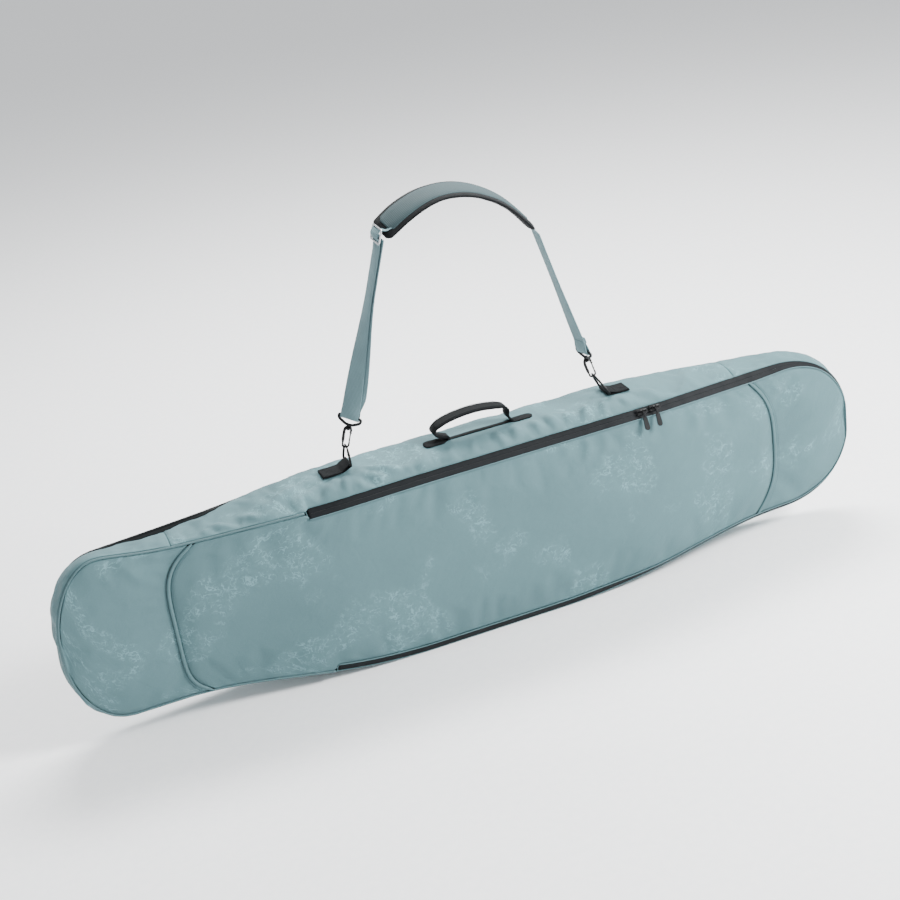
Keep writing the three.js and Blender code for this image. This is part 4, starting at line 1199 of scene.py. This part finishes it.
def box_stitch(name, corner, opposite, z):
    """A sewn box with a cross in it, on a level face."""
    (x0, y0), (x1, y1) = corner, opposite
    legs = [((x0, y0), (x1, y0)), ((x1, y0), (x1, y1)), ((x1, y1), (x0, y1)), ((x0, y1), (x0, y0)),
            ((x0, y0), (x1, y1)), ((x0, y1), (x1, y0))]
    for k, (a, b) in enumerate(legs):
        line = np.array([(*lerp(np.array(a), np.array(b), t), z) for t in np.linspace(0, 1, 8)])
        thread = stitches(f"{name}_{k + 1}", line, np.tile([0, 0, 1], (8, 1)), LOOK["black_thread"],
                          0.0036, 0.0026)
        dress(thread, body="bag")


def make_handle():
    x = np.linspace(STRIP_X[0], STRIP_X[1], 90)
    from_end = np.minimum(x - STRIP_X[0], STRIP_X[1] - x)
    lobe = 1 - ease(from_end, 0.036, 0.052)
    tip = from_end / 0.012
    rounded = np.sqrt(np.clip(tip, 0.0004, 1) * (2 - np.clip(tip, 0, 1)))
    half = (0.0050 + lobe * np.where(x < 0.03, 0.0090, 0.0055)) * rounded
    path = np.stack([x, -0.0035 + 0 * x, STRIP_Z + 0.0004 * np.sin(x * 60)], axis=-1)
    strip = webbing_run("handle_strip", path, (0, 1, 0), half, 0.0011, LOOK["black_webbing"])
    dress(strip, ["handle_base_strip"], "bag")
    for left, right, deep in ((-0.073, -0.042, 0.0085), (0.112, 0.142, 0.0050)):
        side = "left" if left < 0 else "right"
        box_stitch(f"handle_box_{side}", (left, -0.0035 - deep), (right, deep - 0.0035), STRIP_Z + 0.0012)

    loop = smooth_path([(-0.030, 0, 0.4072), (-0.028, 0, 0.4105), (-0.040, 0, 0.4150), (-0.0545, 0, 0.4225),
                        (-0.0560, 0, 0.4315), (-0.0450, 0, 0.4400), (-0.020, 0, 0.4475), (0.015, 0, 0.4515),
                        (0.045, 0, 0.4510), (0.075, 0, 0.4465), (0.0925, 0, 0.4415), (0.0990, 0, 0.4335),
                        (0.0975, 0, 0.4240), (0.1000, 0, 0.4150), (0.106, 0, 0.4085)], 150)
    share = np.linspace(0, 1, len(loop))
    half = (0.0140 - 0.0030 * np.exp(-((share - 0.03) / 0.04) ** 2)
            - 0.0016 * np.exp(-((share - 0.98) / 0.04) ** 2))
    webbing_piece = webbing_run("handle_loop", loop, (0, 1, 0), half, 0.0019, LOOK["black_webbing"])
    dress(webbing_piece, ["handle_webbing"])
    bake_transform(webbing_piece)

    make_grip(loop[(share > 0.21) & (share < 0.815)])


def make_grip(path):
    """Webbing folded round the loop, sewn shut under the hand."""
    along = unit(np.gradient(path, axis=0))
    across = np.tile([0.0, 1.0, 0.0], (len(path), 1))
    normal = np.cross(along, across)
    share = np.linspace(0, 1, len(path))
    taper = 0.90 + 0.10 * ease(share, 0, 0.05) * (1 - ease(share, 0.95, 1))
    sections = []
    for angle in np.linspace(0, 2 * math.pi, 28, endpoint=False):
        c, s = math.cos(angle), math.sin(angle)
        wide = math.copysign(abs(c) ** 0.55, c) * 0.0150
        thick = math.copysign(abs(s) ** 0.7, s) * 0.0040
        belly_out = 1 + 0.10 * (s < 0)
        sections.append(path + across * (wide * taper)[:, None]
                        + normal * (thick * belly_out * taper)[:, None])
    grip = loft_object("handle_grip_sleeve", np.stack(sections, axis=1), LOOK["black_webbing"])
    dress(grip, ["handle_grip"], "handle")
    under = path[4:-4] - normal[4:-4] * 0.0043
    flap = webbing_run("handle_grip_overlap", under + across[4:-4] * 0.003, (0, 1, 0), 0.0065, 0.0007,
                       LOOK["black_webbing"])
    dress(flap, body="handle")
    for side in (-1, 1):
        row = path[5:-5] + normal[5:-5] * 0.0041 + across[5:-5] * (0.0118 * side)
        thread = stitches(f"handle_grip_stitch_{'back' if side > 0 else 'front'}", row, normal[5:-5],
                          LOOK["black_thread"])
        dress(thread, body="handle")


# ------------------------------------------------------------ tabs and rings

RING_BAR_Z = 0.4105
RING_APEX_Z = 0.452
TAB_TURN = 0.0033         # radius of the tab's eye, along the middle of its webbing
TABS = {
    "left": {"outer": -0.290, "bar": (-0.2335, 0.4165), "apex": -0.231},
    "right": {"outer": 0.357, "bar": (0.3110, 0.4115), "apex": 0.289},
}


def make_ring(tag):
    """Triangular ring of thick wire between the tab's eye and the snap hook."""
    bar_x, bar_z = TABS[tag]["bar"]
    foot = np.array([bar_x, bar_z])
    rise = np.array([TABS[tag]["apex"], RING_APEX_Z]) - foot
    flat = [(0, 0), (0.55, 0), (0.86, 0.0), (0.985, 0.03), (1.0, 0.12), (0.90, 0.30), (0.60, 0.66),
            (0.36, 0.90), (0.20, 0.975), (0, 1.0)]
    half = [(y * 0.0235, up) for y, up in flat]
    lap = smooth_path(half + [(-y, up) for y, up in half[-2:0:-1]], 120, ring=True)
    up = lap[:, 1][:, None] * rise[None, :] + foot
    path = np.stack([up[:, 0], lap[:, 0], up[:, 1]], axis=-1)
    thin = 0.0018 + 0.0006 * (1 - ease(lap[:, 1], 0.72, 0.9))
    ring = tube(f"{tag}_ring_wire", path, thin, LOOK["black_metal"], 10, across=(1, 0, 0.3), ring=True)
    dress(ring, [f"{tag}_ring"], f"{tag}_d_ring")


def make_tab(tag):
    outer, (ring, bar_z) = TABS[tag]["outer"], TABS[tag]["bar"]
    side = 1 if ring > outer else -1
    run = abs(ring - outer)
    low, high = STRIP_Z + 0.0001, STRIP_Z + 0.0021
    rise = bar_z - RING_BAR_Z
    local = [(-run, low), (-run * 0.6, low), (-0.016, low + 0.2 * rise), (-0.007, low + 0.7 * rise)]
    for angle in np.linspace(-60, 75, 9):
        a = math.radians(angle)
        local.append((TAB_TURN * math.cos(a), bar_z + TAB_TURN * math.sin(a)))
    local += [(-0.006, high + 0.0034 + rise * 0.7), (-0.012, high + 0.0021 + rise * 0.35),
              (-0.019, high + 0.0006), (-run * 0.6, high), (-run + 0.0008, high)]
    path = smooth_path([(ring + side * x, 0, z) for x, z in local], 80)
    tab = webbing_run(f"{tag}_tab_webbing", path, (0, 1, 0), WEBBING_HALF, 0.00095, LOOK["black_webbing"])
    dress(tab, [f"{tag}_tab"], "bag")
    near, far = ring - side * 0.021, outer + side * 0.004
    box_stitch(f"{tag}_tab_box", (far, -0.0155), (near, 0.0155), high + 0.0010)
    line = np.array([(ring - side * 0.0175, y, high + 0.0021) for y in np.linspace(-0.016, 0.016, 10)])
    thread = stitches(f"{tag}_tab_bar", line, np.tile([0, 0, 1], (10, 1)), LOOK["black_thread"],
                      0.0030, 0.0024, 0.0005)
    dress(thread, body="bag")


# ------------------------------------------------------------ shoulder strap

LEGS = {
    "left": {"ring_x": -0.231, "pad": (-0.097, 0.845), "turn": 46},
    "right": {"ring_x": 0.289, "pad": (0.203, 0.776), "turn": 80},
}
SLOT_Z = 0.0540           # lower face of the bracket's bar
UNTWISTED = 0.74          # share of the leg's length where it faces across the bag
ADJUSTER_Z = 0.411
PAD_POINTS = [(-0.097, 0, 0.845), (-0.050, 0, 0.873), (0, 0, 0.890), (0.050, 0, 0.891),
              (0.100, 0, 0.875), (0.150, 0, 0.840), (0.203, 0, 0.776)]
PAD_HALF = {"middle": 0.033, "tip": 0.027}
PAD_THICK = 0.011


class Leg:
    """A straight end of the shoulder strap, in its own frame with Z along the webbing."""

    def __init__(self, tag):
        end = LEGS[tag]
        self.origin = np.array([end["ring_x"], 0, RING_APEX_Z])
        run_x, run_z = end["pad"][0] - end["ring_x"], end["pad"][1] - RING_APEX_Z
        self.reach = math.hypot(run_x, run_z)
        self.lean = math.atan2(run_x, run_z)
        self.turn = math.radians(end["turn"])

    def angle(self, z):
        return lerp(self.turn, math.pi / 2, ease(z, SLOT_Z + 0.011, UNTWISTED * self.reach))

    def wide(self, z):
        a = self.angle(np.asarray(z, float))
        return np.stack([np.cos(a), -np.sin(a), 0 * a], axis=-1)

    def thick(self, z):
        a = self.angle(np.asarray(z, float))
        return np.stack([np.sin(a), np.cos(a), 0 * a], axis=-1)

    def point(self, z, off, sideways=0.0):
        """Local place at height z, off the middle along the thickness and the width."""
        z = np.asarray(z, float)
        axis = np.stack([0 * z, 0 * z, z], axis=-1)
        off = np.broadcast_to(np.asarray(off, float), z.shape)[..., None]
        sideways = np.broadcast_to(np.asarray(sideways, float), z.shape)[..., None]
        return axis + self.thick(z) * off + self.wide(z) * sideways

    def turned(self, vectors):
        v = np.asarray(vectors, float)
        c, s = math.cos(self.lean), math.sin(self.lean)
        return np.stack([v[..., 0] * c + v[..., 2] * s, v[..., 1], v[..., 2] * c - v[..., 0] * s], axis=-1)

    def world(self, places):
        return self.turned(places) + self.origin


def layer_run(leg, near, far, count, off, sideways):
    """Stations of one layer of webbing between two heights."""
    z = np.linspace(near, far, count)
    return leg.point(z, off(z), sideways(z)), leg.wide(z)


def bar_turn(leg, off):
    """The webbing's turn under the bracket's bar, from the front layer to the back one."""
    angles = np.linspace(math.pi, 2 * math.pi, 9)
    z = SLOT_Z - 0.0003 + 0.0012 * np.sin(angles)
    return leg.point(z, off * np.cos(angles)), leg.wide(z)


def make_leg(tag, front_top, back_top, front_off, back_off, sideways, above):
    """Webbing down the leg, round the bracket's bar and back up. above is what comes before
    the leg: places and width directions, already in the bag's frame."""
    leg = Leg(tag)
    parted = 0.0034

    def off_of(rest):
        return lambda z: lerp(math.copysign(parted, rest), rest, ease(z, SLOT_Z + 0.007, SLOT_Z + 0.028))

    parts = [layer_run(leg, front_top, SLOT_Z, 90, off_of(-front_off), lambda z: 0 * z),
             bar_turn(leg, parted),
             layer_run(leg, SLOT_Z + 0.0002, back_top, 80, off_of(back_off), sideways)]
    path = np.concatenate([above[0], leg.world(np.concatenate([p for p, _ in parts]))])
    wide = np.concatenate([above[1], leg.turned(np.concatenate([w for _, w in parts]))])
    made = webbing_run(f"{tag}_leg_webbing", path, wide, WEBBING_HALF, SINGLE, LOOK["teal_webbing"])
    dress(made, [f"{tag}_webbing"], "shoulder_strap")
    return leg


def over_buckle(leg):
    """The webbing from the pad's top, over the buckle's middle bar and down to the leg."""
    run, normal, across, _ = pad_run(60)
    on_pad = [run[k] - normal[k] * 0.0005 for k in (8, 5, 2)]
    local = [(ADJUSTER_Z + 0.0105, -0.0052), (ADJUSTER_Z + 0.0045, -0.0098), (ADJUSTER_Z, -0.0108),
             (ADJUSTER_Z - 0.0045, -0.0098), (ADJUSTER_Z - 0.0105, -0.0052), (ADJUSTER_Z - 0.0190, -0.0026),
             (ADJUSTER_Z - 0.0300, -0.0014)]
    on_leg = [leg.world(leg.point(np.array(z), np.array(off))) for z, off in local]
    path = smooth_path(on_pad + on_leg, 90)
    share = ease(np.arange(90), 8, 34)[:, None]
    wide = unit(lerp(-across[4], leg.turned(leg.wide(ADJUSTER_Z)), share))
    return path[:-1], wide[:-1]


def make_legs():
    left = make_leg("left", ADJUSTER_Z - 0.030, ADJUSTER_Z - 0.006, 0.0014, 0.0020,
                    lambda z: 0.0080 * ease(z, 0.068, 0.105) * (1 - 0.60 * ease(z, 0.11, 0.37)),
                    over_buckle(Leg("left")))
    run, _, across, _ = pad_run(60)
    under_pad = run[-9:-1:2], -across[-9:-1:2]
    right = make_leg("right", Leg("right").reach - 0.006, 0.089, 0.0, 0.0021, lambda z: 0 * z, under_pad)
    fold = np.array([0.0892, 0.0898, 0.0892])
    rolled = right.point(fold, np.array([0.0018, 0.0030, 0.0042]))
    seam = webbing_run("right_leg_fold", right.world(np.concatenate([rolled, right.point(
        np.array([0.084, 0.078]), np.array([0.0043, 0.0041]))])), right.turned(right.wide(np.full(5, 0.089))),
        WEBBING_HALF, SINGLE, LOOK["teal_webbing"])
    dress(seam, body="shoulder_strap")
    for k, z in enumerate((0.0715, 0.0745, 0.0815)):
        across = np.linspace(-0.0165, 0.0165, 12)
        line = right.world(right.point(np.full(12, z), -0.0011, across))
        normal = right.turned(np.tile(-right.thick(z), (12, 1)))
        thread = stitches(f"right_leg_stitch_{k + 1}", line, normal, LOOK["thread"], 0.0030, 0.0022)
        dress(thread, body="shoulder_strap")
    return left


PAD_ROLL = ((0.0, 0.5), (0.10, 0.42), (0.35, 0.20), (0.6, 0.14), (1.0, 0.05))
PAD_END = 0.985           # share of the pad's line at which the pad itself stops


def pad_run(count):
    """Middle line of the pad with its outward and width directions; it rolls to the front."""
    path = smooth_path(PAD_POINTS, 400)
    share = np.linspace(0.0, PAD_END, count)
    at = share * (len(path) - 1)
    run = np.stack([np.interp(at, np.arange(len(path)), path[:, i]) for i in range(3)], axis=1)
    along = unit(np.gradient(run, axis=0))
    up = np.stack([-along[:, 2], 0 * along[:, 0], along[:, 0]], axis=-1)
    roll = np.interp(share, *np.array(PAD_ROLL).T)[:, None]
    flat = np.array([0.0, 1.0, 0.0])
    across = flat * np.cos(roll) + up * np.sin(roll)
    normal = up * np.cos(roll) - flat * np.sin(roll)
    return run, normal, across, share


def pad_half(t):
    half = lerp(PAD_HALF["middle"], PAD_HALF["tip"], np.abs(2 * t - 1) ** 4)
    left_round = np.clip((t - t[0]) / 0.035, 0, 1)
    right_round = np.clip((t[-1] - t) / 0.20, 0, 1)
    half = half * (0.72 + 0.28 * np.sqrt(left_round * (2 - left_round)))
    return half * (0.45 + 0.55 * np.sqrt(right_round * (2 - right_round)))


def make_pad():
    run, normal, across, t = pad_run(120)
    half = pad_half(t)
    full = 0.5 + 0.5 * ease(np.minimum(t - t[0], t[-1] - t), 0, 0.035)
    ripple = wave_noise(run * [1, 0, 1], 45.0, 41)
    sections = []
    for angle in np.linspace(0, 2 * math.pi, 40, endpoint=False):
        c, s = math.cos(angle), math.sin(angle)
        wide = math.copysign(abs(c) ** 0.7, c) * half
        thick = math.copysign(abs(s) ** 0.8, s) * (PAD_THICK / 2) * full
        if s < 0:
            thick = thick * (1.15 + 0.10 * ripple)
        sections.append(run + across * wide[:, None] + normal * thick[:, None])
    pad = loft_object("shoulder_pad_body", np.stack(sections, axis=1), LOOK["pad"])
    dress(pad, ["shoulder_pad"], "shoulder_strap")

    keep = slice(5, -9)
    edge = ease(np.minimum(t - t[5], t[-10] - t), 0, 0.02)
    band_half = half * (0.60 + 0.20 * edge)
    rim = []
    for layer, lift in ((1, 0.0012), (-1, -0.0006)):
        for share in np.linspace(-1, 1, 17)[::layer]:
            crown = PAD_THICK / 2 * (1 - 0.55 * abs(share) ** 4) + 0.0006 * (1 - share ** 2)
            rim.append((run + across * (band_half * share)[:, None]
                        + normal * ((lift + crown) * full)[:, None])[keep])
    band = loft_object("pad_top_webbing", np.stack(rim, axis=1), LOOK["pad_band"])
    dress(band, ["pad_webbing"], "shoulder_strap")
    for side in (-1, 1):
        lift = PAD_THICK / 2 * (1 - 0.55 * 0.9 ** 4) + 0.0013
        row = (run + across * (band_half * 0.9 * side)[:, None] + normal * (lift * full)[:, None])[8:-12]
        thread = stitches(f"pad_stitch_{'back' if side > 0 else 'front'}", row, normal[8:-12], LOOK["thread"])
        dress(thread, body="shoulder_strap")
        edge_line = (run + across * (half * 0.985 * side)[:, None])[2:-2]
        cord = tube(f"pad_rim_{'back' if side > 0 else 'front'}", edge_line, 0.0018, LOOK["black_webbing"], 8)
        dress(cord, body="shoulder_strap")


BUCKLE = {"half": 0.0235, "tall": 0.0135, "wire": 0.0017, "off": -0.0066}


def make_adjuster(leg):
    """Three-bar buckle of flattened wire, and the webbing end sewn round its middle bar."""
    half, tall, wire, off = (BUCKLE[k] for k in ("half", "tall", "wire", "off"))
    corner = 0.004
    flat = []
    for cx, cz, start in ((1, 1, 0), (-1, 1, 90), (-1, -1, 180), (1, -1, 270)):
        for angle in np.linspace(start, start + 90, 6):
            a = math.radians(angle)
            flat.append((cx * (half - corner) + corner * math.cos(a),
                         cz * (tall - corner) + corner * math.sin(a)))
    lap = smooth_path(flat, 140, ring=True)
    z = ADJUSTER_Z + lap[:, 1]
    path = leg.world(leg.point(z, off, lap[:, 0]))
    frame_bar = tube("strap_adjuster_frame", path, wire, LOOK["steel"], 12,
                     across=leg.turned([1, 0, 0]), ring=True)
    dress(frame_bar, ["strap_adjuster"], "adjuster")
    across = np.linspace(-half + 0.0006, half - 0.0006, 30)
    bar = tube("strap_adjuster_bar", leg.world(leg.point(np.full(30, ADJUSTER_Z), off, across)), wire * 0.95,
               LOOK["steel"], 12, across=(1, 0, 0))
    dress(bar, body="adjuster")

    angles = np.linspace(0, 2 * math.pi, 44, endpoint=False)
    z = ADJUSTER_Z - 0.0022 + 0.0052 * np.sin(angles)
    path = leg.world(leg.point(z, off + 0.0027 * np.cos(angles)))
    along = unit(np.roll(path, -1, 0) - np.roll(path, 1, 0))
    wide = leg.turned(leg.wide(ADJUSTER_Z))
    normal = np.cross(along, wide)
    ring = ribbon("adjuster_loop", path, np.tile(wide * (WEBBING_HALF - 0.0005), (44, 1)), normal * 0.0007,
                  LOOK["teal_webbing"], ring=True)
    dress(ring, ["adjuster_webbing_end"], "adjuster")


# ------------------------------------------------- strap ends and snap hooks

BRACKET_LOOP = [(0, 0.0413), (0.0075, 0.0420), (0.0165, 0.0462), (0.0222, 0.0500), (0.0234, 0.0545),
                (0.0214, 0.0574), (0.0150, 0.0580), (0, 0.0580)]


def make_bracket(tag):
    """Moulded strap loop with a swivel stem that runs through the hook's collar."""
    leg = Leg(tag)
    loop = BRACKET_LOOP + [(-x, z) for x, z in BRACKET_LOOP[-2:0:-1]]
    lap = smooth_path(loop, 130, ring=True)
    bar = ease(lap[:, 1], 0.0560, 0.0578)
    flat = np.array([leg.wide(SLOT_Z) * x + np.array([0, 0, z]) for x, z in lap])
    made = tube(f"{tag}_bracket_loop", leg.world(flat), 0.0028 - 0.0008 * bar, LOOK["plastic"], 12,
                across=leg.turned(leg.thick(SLOT_Z)), ring=True)
    dress(made, [f"{tag}_bracket"], "shoulder_strap")
    heights = np.array([0.0305, 0.0308, 0.0322, 0.0326, 0.0332, 0.0375, 0.0380, 0.0398, 0.0425])
    size = np.array([0.0024, 0.0031, 0.0031, 0.0022, 0.0019, 0.0019, 0.0040, 0.0046, 0.0044])
    axis = np.stack([0 * heights, 0 * heights, heights], axis=-1)
    stem = tube(f"{tag}_bracket_stem", leg.world(axis), size, LOOK["plastic"], 16, across=(0, 1, 0))
    dress(stem, body="shoulder_strap")


HOOK_HALF, HOOK_DROP = 0.0062, 0.0039


def make_hook(tag):
    """Cast snap hook: a stout spine, a thin bight in the ring, a nose and a swivel collar."""
    leg = Leg(tag)
    turns = np.linspace(math.pi, 2 * math.pi, 9)
    bight = [(HOOK_HALF * math.cos(a), HOOK_DROP * math.sin(a)) for a in turns]
    flat = [(0.0044, 0.0345), (-0.0044, 0.0345), (-0.0066, 0.0310), (-0.0072, 0.0225), (-0.0068, 0.010),
            *bight, (0.0064, 0.0068)]
    path = smooth_path([(x, 0, z) for x, z in flat], 90)
    share = np.linspace(0, 1, 90)
    height = path[:, 2]
    size = 0.0018 + 0.0012 * ease(height, 0.004, 0.012) * (share < 0.7) - 0.0003 * (share > 0.97)
    body = tube(f"{tag}_hook_body", leg.world(path), size, LOOK["black_metal"], 12)
    dress(body, [f"{tag}_hook"], f"{tag}_snap_hook")
    arm = smooth_path([(0.0030, 0, 0.0347), (0.0060, 0, 0.0325), (0.0064, 0, 0.0276)], 16)
    shoulder = tube(f"{tag}_hook_shoulder", leg.world(arm), 0.0023, LOOK["black_metal"], 12)
    dress(shoulder, body=f"{tag}_snap_hook")
    turns = np.linspace(0, 2 * math.pi, 40, endpoint=False)
    collar = np.stack([0.0050 * np.cos(turns), 0.0050 * np.sin(turns), 0.0350 + 0 * turns], axis=-1)
    ring = tube(f"{tag}_hook_collar", leg.world(collar), 0.0022, LOOK["black_metal"], 10,
                across=(0, 0, 1), ring=True)
    dress(ring, body=f"{tag}_snap_hook")


# ------------------------------------------------------------- bought parts


def finish_node(name, look, bevel=0.0):
    """Shows a CAD node in its own material, with its edges rounded a little."""
    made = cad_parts[name]
    made.data.materials.clear()
    made.data.materials.append(look)
    made.data.polygons.foreach_set("use_smooth", [True] * len(made.data.polygons))
    if bevel:
        rounding = made.modifiers.new("rounding", "BEVEL")
        rounding.width = bevel
        rounding.segments = 2
        rounding.limit_method = "ANGLE"
        rounding.angle_limit = math.radians(35)
    made.modifiers.new("normals", "WEIGHTED_NORMAL").keep_sharp = True


def finish_hardware():
    for tag in ("left", "right"):
        finish_node(f"{tag}_slider", LOOK["black_metal"], 0.0005)
        finish_node(f"{tag}_pull", LOOK["plastic"], 0.0005)
        finish_node(f"{tag}_gate", LOOK["black_metal"])


# --------------------------------------------------------- camera and light

CAMERA_AT = (-0.9168, -2.8539, 1.8072)
CAMERA_YAW, CAMERA_PITCH, CAMERA_ROLL = 17.314, 25.529, -8.661
CAMERA_LENS = 68.0
FLOOR_Z = -0.0006
FLOOR_HALF = 14
# Lights as (name, place, aim, size, watts).
LIGHTS = [
    ("key", (2.5, -1.5, 2.2), (0.2, 0, 0.25), (1.0, 1.0), 290),
    ("top", (0.6, 1.5, 2.8), (0, 0, 0.3), (2.4, 0.9), 210),
    ("front_fill", (-2.6, -3.4, 1.6), (0, 0, 0.25), (2.2, 1.4), 25),
]


def make_camera():
    yaw, pitch, roll = (math.radians(a) for a in (CAMERA_YAW, CAMERA_PITCH, CAMERA_ROLL))
    ahead = Vector((math.sin(yaw) * math.cos(pitch), math.cos(yaw) * math.cos(pitch), -math.sin(pitch)))
    level = Vector((math.cos(yaw), -math.sin(yaw), 0))
    above = level.cross(ahead)
    right = level * math.cos(roll) + above * math.sin(roll)
    up = above * math.cos(roll) - level * math.sin(roll)
    data = bpy.data.cameras.new("camera")
    data.lens = CAMERA_LENS
    data.clip_start = 0.05
    data.clip_end = 60
    made = bpy.data.objects.new("camera", data)
    made.matrix_world = Matrix.Translation(CAMERA_AT) @ Matrix((right, up, -ahead)).transposed().to_4x4()
    bpy.context.scene.collection.objects.link(made)
    bpy.context.scene.camera = made


def add_light(name, at, aim, size, power):
    data = bpy.data.lights.new(name, "AREA")
    data.shape = "RECTANGLE"
    data.size, data.size_y = size
    data.energy = power
    made = bpy.data.objects.new(name, data)
    made.location = at
    made.rotation_euler = (Vector(aim) - Vector(at)).to_track_quat("-Z", "Y").to_euler()
    bpy.context.scene.collection.objects.link(made)


def make_studio():
    corners = [(sx * FLOOR_HALF, sy * FLOOR_HALF, 0) for sx, sy in ((-1, -1), (1, -1), (1, 1), (-1, 1))]
    floor = add_object("floor", corners, [(0, 1, 2, 3)])
    s = Shader("floor_paper")
    at = s.places(False)
    grain = s.noise(at, 60.0, 4.0, 0.5)
    tone = s.mix(s.band(grain, 0.35, 0.65), (0.90, 0.91, 0.92, 1), (0.93, 0.935, 0.94, 1))
    floor.data.materials.append(s.finish(tone, 0.85, s.bump(grain, 0.0004, 0.2)))
    floor.location.z = FLOOR_Z
    world = bpy.data.worlds.new("studio")
    world.use_nodes = True
    sky = world.node_tree.nodes["Background"]
    sky.inputs[0].default_value = (0.96, 0.98, 1.0, 1)
    sky.inputs[1].default_value = 0.85
    bpy.context.scene.world = world
    for light in LIGHTS:
        add_light(*light)


# ------------------------------------------------------------------ assembly

make_front_panels()
make_inner_layers()
make_gussets()
make_gusset_lining()
make_back()
make_edge_trim()
make_welt("left_seam_welt", "left_seam_piping", LEFT_SEAM, "bag")
make_welt("right_seam_welt", "right_seam_piping", RIGHT_SEAM, "flap")
make_zip()
make_handle()
for end in ("left", "right"):
    make_tab(end)
    make_ring(end)
    make_hook(end)
    make_bracket(end)
left_leg = make_legs()
make_pad()
make_adjuster(left_leg)
finish_hardware()
make_camera()
make_studio()
